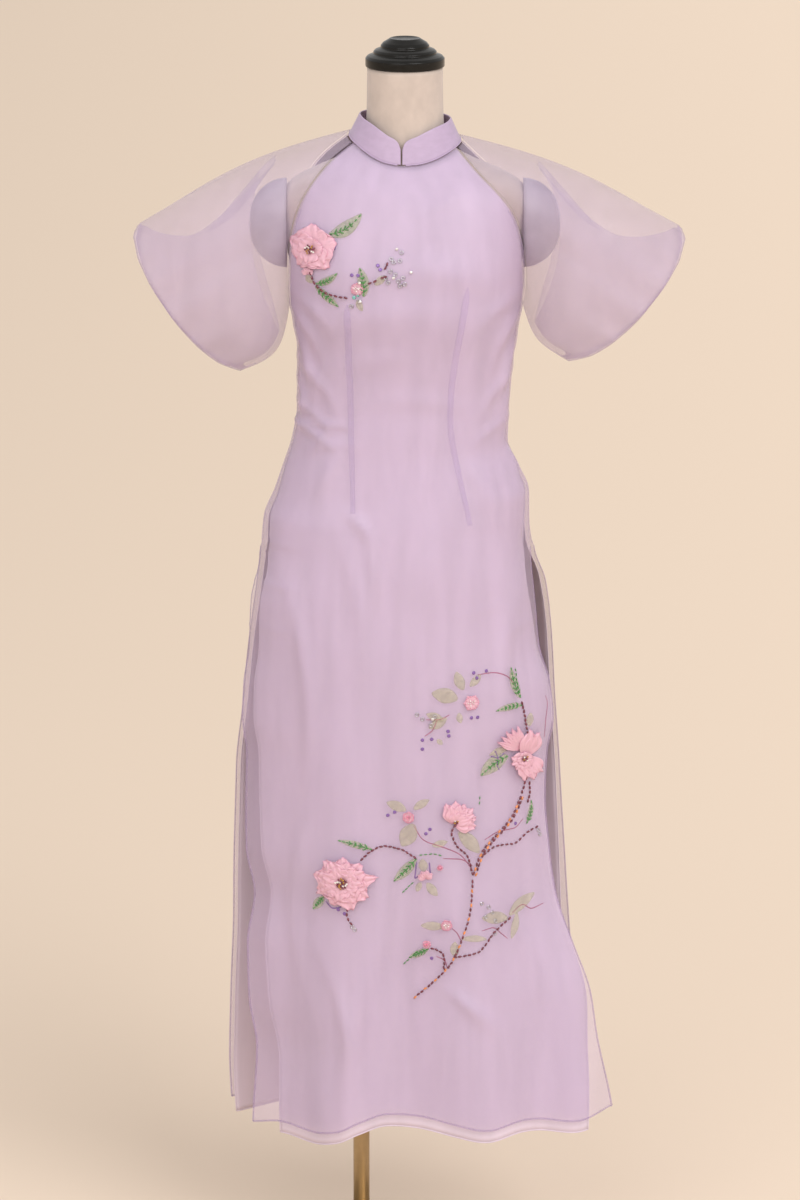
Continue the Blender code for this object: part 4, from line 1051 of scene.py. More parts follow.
def ring_shape(sides=12, tube_sides=5, thickness=0.26):
    """A unit ring lying flat: a torus as a grid closed both ways."""
    turn = np.linspace(0.0, 2 * math.pi, sides, endpoint=False)[:, None]
    round_tube = np.linspace(0.0, 2 * math.pi, tube_sides, endpoint=False)[None, :]
    radius = 1 - thickness + thickness * np.cos(round_tube)
    points = np.stack(
        [radius * np.cos(turn), radius * np.sin(turn), thickness * np.sin(round_tube) + 0 * turn], -1
    )
    i = np.arange(sides)[:, None]
    j = np.arange(tube_sides)[None, :]
    a, b = (i + 1) % sides, (j + 1) % tube_sides
    quads = np.stack([i * tube_sides + j, a * tube_sides + j, a * tube_sides + b, i * tube_sides + b], -1)
    return points.reshape(-1, 3), quads.reshape(-1, 4).tolist()


def disc_shape(sides=14):
    """A unit disc with a thin rim and a crowned face."""
    turn = np.linspace(0.0, 2 * math.pi, sides, endpoint=False)
    rings = [
        np.stack([r * np.cos(turn), r * np.sin(turn), np.full(sides, h)], -1)
        for r, h in ((0.9, -0.10), (1.0, 0.0), (0.7, 0.12), (0.3, 0.06))
    ]
    return ring_solid(rings)


def places_on_front(x, z, turn, scale, lift):
    """Matrices that stand shapes on the cloth: first axis along turn, third along the normal."""
    x, z, turn = np.asarray(x, float), np.asarray(z, float), np.asarray(turn, float)
    centre, normal = on_front(x, z, lift)
    level = np.stack([np.ones_like(x), np.zeros_like(x), np.zeros_like(x)], -1)
    first = unit(level - normal * (level * normal).sum(-1, keepdims=True))
    second = np.cross(normal, first)
    second = second * np.where(second[..., 2:] < 0, -1.0, 1.0)
    a = np.cos(turn)[..., None] * first + np.sin(turn)[..., None] * second
    b = np.cross(normal, a)
    scale = np.broadcast_to(np.asarray(scale, float), (len(x), 3))
    axes = np.stack([a * scale[:, :1], b * scale[:, 1:2], normal * scale[:, 2:]], axis=-1)
    return np.concatenate([axes, centre[..., None]], axis=-1)


# ---- materials ----------------------------------------------------------------------------------
def put(tree, kind, values=(), links=(), **settings):
    """Adds a node with its settings, its input values and its links, by input name or number."""
    made = tree.nodes.new(kind)
    for name, value in settings.items():
        setattr(made, name, value)
    for key, value in dict(values).items():
        made.inputs[key].default_value = value
    for key, source in dict(links).items():
        tree.links.new(source, made.inputs[key])
    return made


def new_material(name):
    made = bpy.data.materials.new(name)
    made.use_nodes = True
    made.node_tree.nodes.clear()
    return made, made.node_tree


def finish_surface(tree, values, links):
    shader = put(tree, "ShaderNodeBsdfPrincipled", values, links)
    put(tree, "ShaderNodeOutputMaterial", links={"Surface": shader.outputs[0]})


def tinted(tree, factor, dark, light):
    """A colour between two, by a factor."""
    values = {6: (*dark, 1.0), 7: (*light, 1.0)}
    mixed = put(tree, "ShaderNodeMix", values, {0: factor}, data_type="RGBA")
    return mixed.outputs[2]


def shaded(colour, share):
    return tuple(min(c * share, 1.0) for c in colour)


def streaks(tree, across_mm, along_mm, detail=3.0, low=0.35, high=0.65):
    """Soft upright streaks of the named size, as a factor from 0 to 1."""
    place = put(tree, "ShaderNodeTexCoord").outputs["Object"]
    scale = (1000 / across_mm, 1000 / across_mm, 1000 / along_mm)
    mapped = put(tree, "ShaderNodeMapping", {"Scale": scale}, {"Vector": place})
    noise = put(tree, "ShaderNodeTexNoise", {"Scale": 1.0, "Detail": detail}, {"Vector": mapped.outputs[0]})
    ranged = put(
        tree, "ShaderNodeMapRange", {"From Min": low, "From Max": high}, {"Value": noise.outputs[0]}
    )
    return ranged.outputs[0]


def band_scale(apart_mm):
    """The wave texture's scale that puts its bands this far apart."""
    return 2 * math.pi / 20 / (apart_mm / 1000)


def weave_height(tree, thread_mm):
    """Warp and weft as two sets of sine bands, one thread to a band."""
    place = put(tree, "ShaderNodeTexCoord").outputs["Object"]
    scale = band_scale(thread_mm)
    bands = [
        put(tree, "ShaderNodeTexWave", {"Scale": scale}, {"Vector": place}, bands_direction=way)
        for way in ("X", "Z")
    ]
    links = {0: bands[0].outputs[1], 1: bands[1].outputs[1]}
    return put(tree, "ShaderNodeMath", links=links, operation="ADD").outputs[0]


def bumped(tree, height, strength, distance_mm):
    values = {"Strength": strength, "Distance": distance_mm / 1000}
    return put(tree, "ShaderNodeBump", values, {"Height": height}).outputs[0]


def patterned(name, colour, streak, tints, values, weave=None, bump=None, rough=None):
    """A material whose colour drifts between two tints in streaks.

    Weave is a thread's width, its strength and its depth. Bump is streaks, their strength and depth.
    Rough is streaks, the least roughness and the most.
    """
    made, tree = new_material(name)
    dark, light = tints
    base = tinted(tree, streaks(tree, *streak), shaded(colour, dark), shaded(colour, light))
    links = {"Base Color": base}
    if weave:
        thread_mm, strength, depth_mm = weave
        links["Normal"] = bumped(tree, weave_height(tree, thread_mm), strength, depth_mm)
    if bump:
        grain, strength, depth_mm = bump
        links["Normal"] = bumped(tree, streaks(tree, *grain), strength, depth_mm)
    if rough:
        grain, least, most = rough
        ends = {"To Min": least, "To Max": most}
        ranged = put(tree, "ShaderNodeMapRange", ends, {"Value": streaks(tree, *grain)})
        links["Roughness"] = ranged.outputs[0]
    finish_surface(tree, values, links)
    return made


def silk_organza(name, colour, opacity):
    """Silk organza, plain woven of stiff fine thread: sheer, with a soft watered shimmer.

    Threads lie 0.1 mm apart. They are drawn 1.4 mm apart, the finest that can show.
    """
    values = {
        "Roughness": 0.42,
        "Alpha": opacity,
        "Sheen Weight": 0.25,
        "Sheen Roughness": 0.35,
        "Sheen Tint": (1.0, 0.93, 1.0, 1.0),
        "Specular IOR Level": 0.35,
    }
    return patterned(name, colour, (16.0, 170.0), (0.94, 1.04), values, (1.4, 0.12, 0.10))


def taffeta(name, colour):
    """Lining taffeta, tightly plain woven: opaque, smooth, with a dry sheen that follows its folds."""
    values = {
        "Roughness": 0.50,
        "Sheen Weight": 0.15,
        "Sheen Roughness": 0.4,
        "Sheen Tint": (1.0, 0.94, 0.98, 1.0),
        "Specular IOR Level": 0.35,
    }
    return patterned(name, colour, (34.0, 320.0, 4.0), (0.94, 1.04), values, (1.2, 0.10, 0.08))


def interfaced_organza(name, colour):
    """Two plies of organza fused to stiff interfacing: smooth and even, almost opaque."""
    values = {"Roughness": 0.45, "Sheen Weight": 0.2, "Sheen Roughness": 0.3}
    return patterned(name, colour, (12.0, 6.0), (0.96, 1.03), values, (1.0, 0.15, 0.06))


def petal_organza(name, tip, heart):
    """Hot-cut petals of crisp organza: pale at the middle, deeper at the heart and along the sealed rim."""
    made, tree = new_material(name)
    uv = put(tree, "ShaderNodeUVMap", uv_map="along").outputs[0]
    apart = put(tree, "ShaderNodeSeparateXYZ", links={0: uv})
    ramp = put(tree, "ShaderNodeValToRGB", links={0: apart.outputs[0]})
    stops = ramp.color_ramp.elements
    stops[0].position, stops[0].color = 0.0, (*heart, 1.0)
    stops[1].position, stops[1].color = 1.0, (*shaded(heart, 0.95), 1.0)
    for position, colour in ((0.30, tip), (0.93, shaded(tip, 1.05)), (0.975, heart)):
        stops.new(position).color = (*colour, 1.0)
    mapped = put(tree, "ShaderNodeMapping", {"Scale": (3.0, 26.0, 1.0)}, {"Vector": uv})
    vein = put(tree, "ShaderNodeTexNoise", {"Scale": 1.0, "Detail": 2.0}, {"Vector": mapped.outputs[0]})
    deeper = put(
        tree, "ShaderNodeMapRange", {"From Min": 0.40, "From Max": 0.70}, {"Value": vein.outputs[0]}
    )
    links = {0: deeper.outputs[0], 6: ramp.outputs[0]}
    values = {7: (*shaded(tip, 0.86), 1.0)}
    base = put(tree, "ShaderNodeMix", values, links, data_type="RGBA").outputs[2]
    normal = bumped(tree, vein.outputs[0], 0.35, 0.5)
    values = {
        "Roughness": 0.40,
        "Sheen Weight": 0.35,
        "Sheen Roughness": 0.3,
        "Sheen Tint": (1.0, 0.9, 0.95, 1.0),
        "Alpha": 0.72,
    }
    finish_surface(tree, values, {"Base Color": base, "Normal": normal})
    return made


def glass_bead(name, colour, roughness=0.14):
    """Pressed glass bead, fire polished: a deep body colour under one hard small highlight."""
    values = {"Roughness": roughness, "IOR": 1.5, "Coat Weight": 0.6, "Coat Roughness": 0.05}
    return patterned(name, colour, (3.0, 3.0), (0.7, 1.35), values)


def silk_floss(name, colour):
    """Twisted silk floss: soft lustre along the strand, fine grooves between the strands."""
    values = {"Roughness": 0.5, "Sheen Weight": 0.4, "Sheen Roughness": 0.3}
    return patterned(name, colour, (2.5, 2.5), (0.72, 1.2), values, (0.5, 0.5, 0.12))


def printed_silk(name, colour, opacity):
    """Motif drawn on the organza in dye: thin, uneven colour that lets the cloth show."""
    return patterned(name, colour, (4.0, 4.0), (0.8, 1.15), {"Roughness": 0.6, "Alpha": opacity})


def foil_sequin(name, colour, metallic):
    """Sequin of metallised film: bright and mirror-like, slightly crumpled."""
    crumple = (1.5, 1.5)
    values = {"Metallic": metallic, "Roughness": 0.22, "Coat Weight": 0.3}
    return patterned(name, colour, crumple, (0.75, 1.1), values, bump=(crumple, 0.4, 0.2))


def cotton_jersey(name, colour):
    """Cotton jersey stretched over padding: matt, with fine upright wales 1.1 mm apart."""
    made, tree = new_material(name)
    base = tinted(tree, streaks(tree, 18.0, 24.0), shaded(colour, 0.93), shaded(colour, 1.03))
    place = put(tree, "ShaderNodeTexCoord").outputs["Object"]
    wave = {"Scale": band_scale(1.1), "Distortion": 1.2, "Detail": 2.0}
    wales = put(tree, "ShaderNodeTexWave", wave, {"Vector": place}, bands_direction="X")
    normal = bumped(tree, wales.outputs[1], 0.35, 0.25)
    values = {"Roughness": 0.85, "Sheen Weight": 0.3, "Sheen Roughness": 0.6}
    finish_surface(tree, values, {"Base Color": base, "Normal": normal})
    return made


def black_lacquer(name, colour):
    """Turned wood under black lacquer: deep gloss with faint sanding swirls and rubbed edges."""
    rub = (9.0, 3.0)
    values = {"IOR": 1.5, "Specular IOR Level": 0.3}
    return patterned(name, colour, rub, (0.6, 1.0), values, rough=(rub, 0.14, 0.26))


def enamelled_plate(name, colour):
    """Pressed metal under satin enamel: even colour, slight orange peel."""
    peel = ((2.0, 2.0), 0.2, 0.1)
    return patterned(name, colour, (30.0, 20.0), (0.92, 1.05), {"Roughness": 0.45}, bump=peel)


def brushed_brass(name, colour):
    """Steel plated in brass and brushed round: warm metal with fine turned lines."""
    lines = (30.0, 0.6, 2.0)
    bump, rough = (lines, 0.15, 0.05), (lines, 0.28, 0.42)
    return patterned(name, colour, (20.0, 60.0), (0.85, 1.08), {"Metallic": 1.0}, bump=bump, rough=rough)


def studio_paper(name, colour):
    """Plain matt paper with painted light: its colour is lighter towards the right and darker towards the
    left.
    """
    made, tree = new_material(name)
    place = put(tree, "ShaderNodeTexCoord").outputs["Object"]
    apart = put(tree, "ShaderNodeSeparateXYZ", links={0: place})
    # Painted light: the colour runs from darker at the left to lighter at the right, standing in for light
    # falling from the right side.
    values = {"From Min": -1.3, "From Max": 1.1}
    painted_light_ramp = put(tree, "ShaderNodeMapRange", values, {"Value": apart.outputs[0]})
    base = tinted(tree, painted_light_ramp.outputs[0], shaded(colour, 0.92), shaded(colour, 1.08))
    finish_surface(tree, {"Roughness": 0.95, "Specular IOR Level": 0.1}, {"Base Color": base})
    return made


# ---- cloth pieces -------------------------------------------------------------------------------
PANEL_GRID = (100, (250, 50))
LINING_GRID = (70, (160, 36))
SLIT_TOP = 0.968
HEM_LIFT = 0.0004


def edge_rolls(points, radius):
    """Rolled hems of a panel: tubes along both free sides below the slits and along the hem."""
    normals = normals_of(points)
    rows = int(np.searchsorted(points[:, points.shape[1] // 2, 2], SLIT_TOP))
    runs = (
        (points[:rows, 0], normals[:rows, 0]),
        (points[:rows, -1], normals[:rows, -1]),
        (points[0], normals[0]),
    )
    rolls = [tube_rings(run - normal * HEM_LIFT / 2, normal, radius, 8, 0.6) for run, normal in runs]
    return joined([ring_solid(rings, flip=True) for rings in rolls])


def lay_panels(rows, grid, finish, hem_finish, slot, thickness, hem_radius, lining):
    """Front and back sheets with their hems, from rows of name, side, node, flat size and area."""
    columns, levels = grid
    for name, side, node, flat, area in rows:
        points = panel_points(side, columns, levels, lining)
        made = cloth(name, points, finish, slot, thickness, (node,))
        hem = add_piece(name + "_hem", *edge_rolls(points, hem_radius), hem_finish, slot)


class TUNIC_OT_panels(bpy.types.Operator):
    """Front and back panels of organza with their rolled hems"""

    bl_idname = "tunic.panels"
    bl_label = "Organza panels"

    def execute(self, context):
        size, hue = sizes(), colours()
        sheer = silk_organza("silk organza of the panels", hue.organza, 0.25)
        rolled = silk_organza("rolled organza hem", hue.hem, 0.36)
        rows = (
            ("front_organza", -1, "front_panel", (0.50, 1.33), 0.556),
            ("back_organza", 1, "back_panel", (0.49, 1.34), 0.577),
        )
        lay_panels(rows, PANEL_GRID, sheer, rolled, "organza", size.organza, size.hem_roll, False)
        return {"FINISHED"}


class TUNIC_OT_lining(bpy.types.Operator):
    """Front and back lining under the organza, with turned hems"""

    bl_idname = "tunic.lining"
    bl_label = "Lining"

    def execute(self, context):
        size, hue = sizes(), colours()
        opaque = taffeta("lining taffeta", hue.lining)
        rows = (
            ("front_lining_cloth", -1, "front_lining", (0.46, 1.31), 0.505),
            ("back_lining_cloth", 1, "back_lining", (0.47, 1.32), 0.540),
        )
        lay_panels(rows, LINING_GRID, opaque, opaque, "lining", size.lining, size.hem_roll * 0.8, True)
        return {"FINISHED"}


def ribbon(path, normals, half_width, lift):
    """A flat strip along a path, its width across the path in the cloth, lifted along the normal."""
    across = unit(np.cross(np.gradient(path, axis=0), normals))
    half = np.broadcast_to(np.asarray(half_width, float), (len(path),))[:, None, None]
    steps = np.linspace(-1.0, 1.0, 5)[None, :, None]
    return path[:, None] + across[:, None] * half * steps + normals[:, None] * lift


DART_ROWS = 60
DART_LENGTH = 0.3  # about how long a dart is
DART_LIFT = 0.0006
DART_NARROWS = 0.35  # how much narrower a dart is at its lower end
DART_POINT = 0.06  # share of its length over which its upper end comes to a point
DART_LEAST = 0.0004
SEAM_GRID = (60, (150, 40))
ALLOWANCE_SHORT = 14  # rows between the top of a seam allowance and the neckline


class TUNIC_OT_seams(bpy.types.Operator):
    """Waist darts and the allowances of the side and raglan seams, seen through the organza"""

    bl_idname = "tunic.seams"
    bl_label = "Darts and seams"

    def execute(self, context):
        size = sizes()
        folded = silk_organza("folded organza of the seams", linear("#C4AEDD"), 0.09)
        for which, ends in DARTS.items():
            path = smooth_path(ends, DART_LENGTH / DART_ROWS)
            share = np.linspace(0.0, 1.0, len(path))
            narrowing = (1 - DART_NARROWS * share) * smoothstep(share / DART_POINT) ** 0.5
            width = np.maximum(size.dart_width / 2 * narrowing, DART_LEAST)
            points, normals = on_front(path[:, 0], path[:, 1], 0.0)
            strip = ribbon(points, normals, width, DART_LIFT)
            cloth("waist_dart_" + which, strip, folded, "organza", 0.0004)
        for name, side in (("front", -1), ("back", 1)):
            columns, rows = SEAM_GRID
            grid = panel_points(side, columns, rows)
            normals = normals_of(grid)
            top = int(np.searchsorted(grid[:, columns // 2, 2], SLIT_TOP))
            end = len(grid) - ALLOWANCE_SHORT
            for which, column, step in (("a", 0, 1), ("b", -1, -1)):
                edge = grid[top:end, column]
                toward = unit(grid[top:end, column + 3 * step] - edge)
                share = np.linspace(0.0, 1.0, 4)[None, :, None]
                strip = edge[:, None] + toward[:, None] * size.seam_allowance * share
                strip = strip - normals[top:end, column][:, None] * (0.0005 + 0.0008 * share)
                cloth(f"seam_allowance_{name}_{which}", strip, folded, "organza", 0.0003, flip=step < 0)
        return {"FINISHED"}


class TUNIC_OT_sleeves(bpy.types.Operator):
    """Puff sleeves: outer ply, the ply that turns back up inside, and the gathered rim at the hem"""

    bl_idname = "tunic.sleeves"
    bl_label = "Puff sleeves"

    def execute(self, context):
        size, hue = sizes(), colours()
        sheer = silk_organza("silk organza of the sleeves", hue.sleeve, 0.20)
        rim = silk_organza("gathered organza rim", hue.hem, 0.22)
        for which in SLEEVES:
            left = which == "left"
            outer, inner = sleeve_points(which), inner_points(which)
            ply = cloth(
                f"sleeve_{which}_outer", outer, sheer, "organza", size.organza,
                (f"sleeve_{which}",), closed=True, flip=not left,
            )
            turned_in = cloth(
                f"sleeve_{which}_turned_in", inner, sheer, "organza", size.organza,
                (f"sleeve_inner_{which}",), closed=True, flip=left,
            )
            hem = np.concatenate([outer[-1], outer[-1, :1]])
            inside = np.concatenate([inner[0], inner[0, :1]])
            share = np.linspace(0.0, 1.0, 7)[:, None, None]
            axis = unit(outer[-1].mean(0) - outer[-12].mean(0))
            bulge = 0.0022 * np.sin(math.pi * share) * axis
            fold = hem[None] * (1 - share) + inside[None] * share + bulge
            rolled = cloth(
                f"sleeve_{which}_rim", fold[:, :-1], rim, "organza", size.organza,
                closed=True, flip=not left,
            )
        return {"FINISHED"}


class TUNIC_OT_collar(bpy.types.Operator):
    """Stand collar, open at the front slit, with its seam at the neckline"""

    bl_idname = "tunic.collar"
    bl_label = "Stand collar"

    def execute(self, context):
        size, hue = sizes(), colours()
        stiff = interfaced_organza("interfaced collar organza", hue.collar)
        even = np.linspace(-1.0, 1.0, 241)
        start, end = SLIT_HALF_DEG, 360.0 - SLIT_HALF_DEG
        angles = (start + end) / 2 + (end - start) / 2 * (0.45 * np.sin(even * math.pi / 2) + 0.55 * even)
        base, top = neck_point(angles, "base"), neck_point(angles, "top")
        base[:, 2] += GAP
        share = np.linspace(0.0, 1.0, 13)[:, None, None]
        outward = base - (CENTRE, NECK_MIDDLE_Y, 0.0)
        outward[:, 2] = 0.0
        outward = unit(outward)
        wave = 0.0005 * np.sin(np.radians(angles) * 3 + 0.6)[:, None]
        points = base * (1 - share) + top * share + outward * wave * share
        made = cloth("collar_band", points, stiff, "collar_cloth", size.collar, ("collar",), flip=True)
        rounded(made, "turned edge", size.collar * 0.35, 2, 50)
        seam_path = base[4:-4] - (0.0, 0.0, 0.0006) + outward[4:-4] * 0.0002
        cord = ring_solid(tube_rings(seam_path, outward[4:-4], 0.0009, 6), flip=True)
        seam = add_piece("collar_seam", *cord, stiff, "collar_cloth")
        return {"FINISHED"}


# ---- embroidery ---------------------------------------------------------------------------------
PETAL_LENGTHS = 14
PETAL_WIDTHS = 15
PETAL_RUFFLE = 0.0012
PETAL_REACH_RANGE = (0.92, 1.05)
PETAL_WIDTH_RANGE = (0.92, 1.08)
PETAL_WAVE_RANGE = (2.2, 3.4)
PETAL_THICKNESS = 0.0002
HEART_BEAD = 0.00125


def petal_grid(x, z, reach, half_width, tilt, turn, seed):
    """A petal from the heart out: width as sin^0.55 of the way out, cupped, its rim ruffled.

    Returns points that follow the cloth under them, and the way out and across as UV.
    """
    random = np.random.default_rng(seed)
    reach = reach * random.uniform(*PETAL_REACH_RANGE)
    half_width = half_width * random.uniform(*PETAL_WIDTH_RANGE)
    phase, waves = random.uniform(0, 6.28), random.uniform(*PETAL_WAVE_RANGE)
    s = np.linspace(0.0, 1.0, PETAL_LENGTHS)[:, None]
    t = np.linspace(-1.0, 1.0, PETAL_WIDTHS)[None, :]
    wide = half_width * np.sin(math.pi * (0.06 + 0.86 * s**1.15)) ** 0.55
    along = reach * (s - 0.24 * s**3 * t**2 + 0.030 * np.sin(waves * 3.1 * t + 2 * phase) * s**4)
    rise = math.tan(math.radians(tilt))
    height = along * rise * (1 - 0.45 * s) + 0.10 * half_width * t**2 * s
    height = height + PETAL_RUFFLE * s**2 * np.sin(waves * math.pi * t + phase)
    height = height - 0.0022 * s**4 + 0.0006
    across = wide * t
    c, k = math.cos(turn), math.sin(turn)
    px = x + along * c - across * k
    pz = z + along * k + across * c
    points, _ = on_front(px, pz, np.maximum(height, 0.0003))
    rim = 0.965 * np.abs(t) ** 6 * (s > 0.2)
    uv = np.stack([np.maximum(s + 0 * t, rim), (t + 1) / 2 + 0 * s], axis=-1)
    return points, uv


def petals(x, z, rings, seed):
    """All petals of a flower as one grid mesh: points, faces and UV."""
    quads = grid_quads(PETAL_LENGTHS, PETAL_WIDTHS, flip=True)
    points, faces, uvs = [], [], []
    for level, (count, reach, half_width, tilt, first, fan, out_x, out_z) in enumerate(rings):
        for i in range(count):
            step = fan / count if fan == 360.0 else fan / max(count - 1, 1)
            turn = math.radians(first + i * step)
            own_seed = seed + 31 * level + 7 * i
            made, uv = petal_grid(x + out_x, z + out_z, reach, half_width, tilt, turn, own_seed)
            faces.append(quads + len(points) * PETAL_LENGTHS * PETAL_WIDTHS)
            points.append(made.reshape(-1, 3))
            uvs.append(uv.reshape(-1, 2))
    return np.concatenate(points), np.concatenate(faces).tolist(), np.concatenate(uvs)


def scattered(x, z, radius, count, seed):
    """Places spread evenly over a round patch, as seeds on a flower head, with a little chance."""
    random = np.random.default_rng(seed)
    i = np.arange(count) + 0.5
    away = radius * np.sqrt(i / count) * random.uniform(0.88, 1.08, count)
    turn = i * math.pi * (3 - math.sqrt(5)) + random.uniform(-0.2, 0.2, count)
    return x + away * np.cos(turn), z + away * np.sin(turn), turn


# Beaded hearts: place, radius, count of beads and how high they sit.
HEARTS = {
    "chest_flower": (-0.1235, 1.3770, 0.0060, 20, 0.0105),
    "skirt_flower_large": (-0.0863, 0.5456, 0.0072, 30, 0.0120),
    "skirt_flower_side": (0.1475, 0.6990, 0.0040, 8, 0.0080),
    "skirt_flower_half_open": (0.0600, 0.6255, 0.0030, 6, 0.0040),
}


class TUNIC_OT_flowers(bpy.types.Operator):
    """The four raised flowers of organza petals with beaded hearts"""

    bl_idname = "tunic.flowers"
    bl_label = "Petal flowers"

    def execute(self, context):
        hue = colours()
        crisp = petal_organza("hot-cut petal organza", hue.petal, hue.petal_heart)
        maroon = glass_bead("maroon glass bead", hue.bead)
        gold = foil_sequin("gold seed bead", linear("#C99A4E"), 0.8)
        pearl = glass_bead("pearl bead", linear("#F1E6DA"), 0.22)
        seed_bead = bead_shape(7, 4)
        for order, (node, (x, z, rings)) in enumerate(FLOWERS.items()):
            points, faces, uv = petals(x, z, rings, 100 * (order + 1))
            name = node + "_petals"
            made = add_piece(name, points, faces, crisp, "petals", (node,), uv)
            thicken(made, PETAL_THICKNESS)
            hx, hz, radius, count, lift = HEARTS[node]
            bx, bz, turn = scattered(hx, hz, radius, count, order + 5)
            bead = (HEART_BEAD * 1.2, HEART_BEAD, HEART_BEAD)
            for part, pick, finish in (
                ("maroon", slice(0, None, 2), maroon),
                ("gold", slice(1, None, 4), gold),
                ("pearl", slice(3, None, 4), pearl),
            ):
                places = places_on_front(bx[pick], bz[pick], turn[pick], bead, lift * 0.62)
                add_piece(f"{node}_{part}", *repeated(seed_bead, places), finish, "petals")
        return {"FINISHED"}


def string_places(points, step, width, length, lift, offset, seed):
    """Bugle beads end to end along a curve, a little askew, moved to its side by offset."""
    random = np.random.default_rng(seed)
    path = smooth_path(points, step)
    middle = (path[:-1] + path[1:]) / 2
    ahead = path[1:] - path[:-1]
    turn = np.arctan2(ahead[:, 1], ahead[:, 0]) + random.uniform(-0.28, 0.28, len(ahead))
    side = np.stack([-np.sin(turn), np.cos(turn)], -1) * offset
    middle = middle + side + random.uniform(-0.0003, 0.0003, middle.shape)
    scale = (length / 2, width / 2, width / 2)
    return places_on_front(middle[:, 0], middle[:, 1], turn, scale, lift)


def drawn_line(points, radius, taper, lift):
    """A flattened tube on the cloth through the points, its ends thinner by the taper."""
    path = smooth_path(points, 0.002)
    at, normals = on_front(path[:, 0], path[:, 1], lift)
    swell = 1 - taper + taper * np.sin(math.pi * np.linspace(0.1, 0.9, len(at)))
    return ring_solid(tube_rings(at, normals, radius * swell, 6, 0.35), flip=True)


class TUNIC_OT_branches(bpy.types.Operator):
    """Branches of maroon and orange beads, the printed stems and the lilac lines"""

    bl_idname = "tunic.branches"
    bl_label = "Beaded branches"

    def execute(self, context):
        size, hue = sizes(), colours()
        maroon = glass_bead("maroon bugle bead", hue.bead)
        orange = glass_bead("orange bugle bead", hue.knot)
        dye = printed_silk("rose dye", hue.printed_stem, 0.55)
        bugle = bead_shape(8, 4)
        strings, knots = [], []
        lift = size.bead_width / 2 + 0.0003
        for seed, (strands, every, points) in enumerate(BRANCHES.values()):
            step = size.bead_length * 1.10
            for strand in range(strands):
                offset = (strand - (strands - 1) / 2) * size.bead_width * 0.95
                beads = string_places(
                    points, step, size.bead_width, size.bead_length, lift, offset, 17 * seed + strand
                )
                turned = np.zeros(len(beads), bool)
                if every:
                    turned = (np.arange(len(beads)) + 2 * strand) % every == 0
                strings.append(beads[~turned])
                knots.append(beads[turned])
        add_piece("bead_branches", *repeated(bugle, np.concatenate(strings)), maroon, "petals")
        add_piece("branch_orange_beads", *repeated(bugle, np.concatenate(knots)), orange, "petals")
        lilac = printed_silk("lilac dye", hue.dot, 0.6)
        for name, table, radius, taper, lift, finish in (
            ("printed_stems", PRINTED_STEMS, 0.00075, 0.5, 0.00025, dye),
            ("lilac_lines", LILAC_LINES, 0.0008, 0.0, 0.0003, lilac),
        ):
            lines = [drawn_line(points, radius, taper, lift) for points in table.values()]
            add_piece(name, *joined(lines), finish, "petals")
        return {"FINISHED"}


LEAF_ROWS = 16
LEAF_WIDTHS = 7
MIDRIB_STITCH = 0.0052  # about how long a midrib stitch is, with its gap
MIDRIB_LIFT = 0.0009
BARB_REACH = 0.0062  # length of a barb on a leaf BARB_LEAF long or longer
BARB_LEAF = 0.036
BARB_PAIRS = 4
BARB_LIFT = 0.0011
THREAD = 0.00085


def leaf_frame(row):
    """The midrib of a leaf and its half width along it: a quadratic bend and a sine^0.8 width."""
    x, z, turn, length, bend, slender, _ = row
    s = np.linspace(0.0, 1.0, LEAF_ROWS)
    c, k = math.cos(math.radians(turn)), math.sin(math.radians(turn))
    along, across = length * s, bend * length * s**2 * 0.5
    rib = np.stack([x + along * c - across * k, z + along * k + across * c], -1)
    ahead = unit(np.gradient(rib, axis=0))
    side = np.stack([-ahead[:, 1], ahead[:, 0]], -1)
    return rib, ahead, side, length * slender * np.sin(math.pi * (0.04 + 0.94 * s)) ** 0.8


def leaf_blade(row, lift):
    """A thin leaf-shaped patch that follows the cloth."""
    rib, _, side, half = leaf_frame(row)
    t = np.linspace(-1.0, 1.0, LEAF_WIDTHS)[None, :, None]
    flat = rib[:, None] + side[:, None] * half[:, None, None] * t
    points, _ = on_front(flat[..., 0], flat[..., 1], lift)
    return points.reshape(-1, 3), grid_quads(LEAF_ROWS, LEAF_WIDTHS, flip=True).tolist()


def leaf_stitches(row):
    """Running stitches along the midrib, and slanting barbs in pairs over its lower half."""
    rib, ahead, _, _ = leaf_frame(row)

    def at(values, share):
        return np.stack([np.interp(share * (LEAF_ROWS - 1), np.arange(LEAF_ROWS), v) for v in values.T], -1)

    count = max(round(row[3] / MIDRIB_STITCH), 2)
    share = (np.arange(count) + 0.5) / count
    middle, along = at(rib, share), at(ahead, share)
    turn = np.arctan2(along[:, 1], along[:, 0])
    scale = (row[3] / count * 0.46, THREAD, THREAD)
    places = [places_on_front(middle[:, 0], middle[:, 1], turn, scale, MIDRIB_LIFT)]
    share = np.linspace(0.16, 0.62, BARB_PAIRS)
    foot, along = at(rib, share), at(ahead, share)
    side = np.stack([-along[:, 1], along[:, 0]], -1)
    shorter = 1.1 - 0.4 * np.linspace(0.0, 1.0, BARB_PAIRS)
    reach = BARB_REACH * min(row[3] / BARB_LEAF, 1.0) * shorter
    for sign in (-1.0, 1.0):
        slant = along * 0.72 + side * sign * 0.69
        middle = foot + slant * reach[:, None] / 2
        turn = np.arctan2(slant[:, 1], slant[:, 0])
        scale = np.stack([reach / 2, np.full(BARB_PAIRS, THREAD), np.full(BARB_PAIRS, THREAD)], -1)
        places.append(places_on_front(middle[:, 0], middle[:, 1], turn, scale, BARB_LIFT))
    return np.concatenate(places)


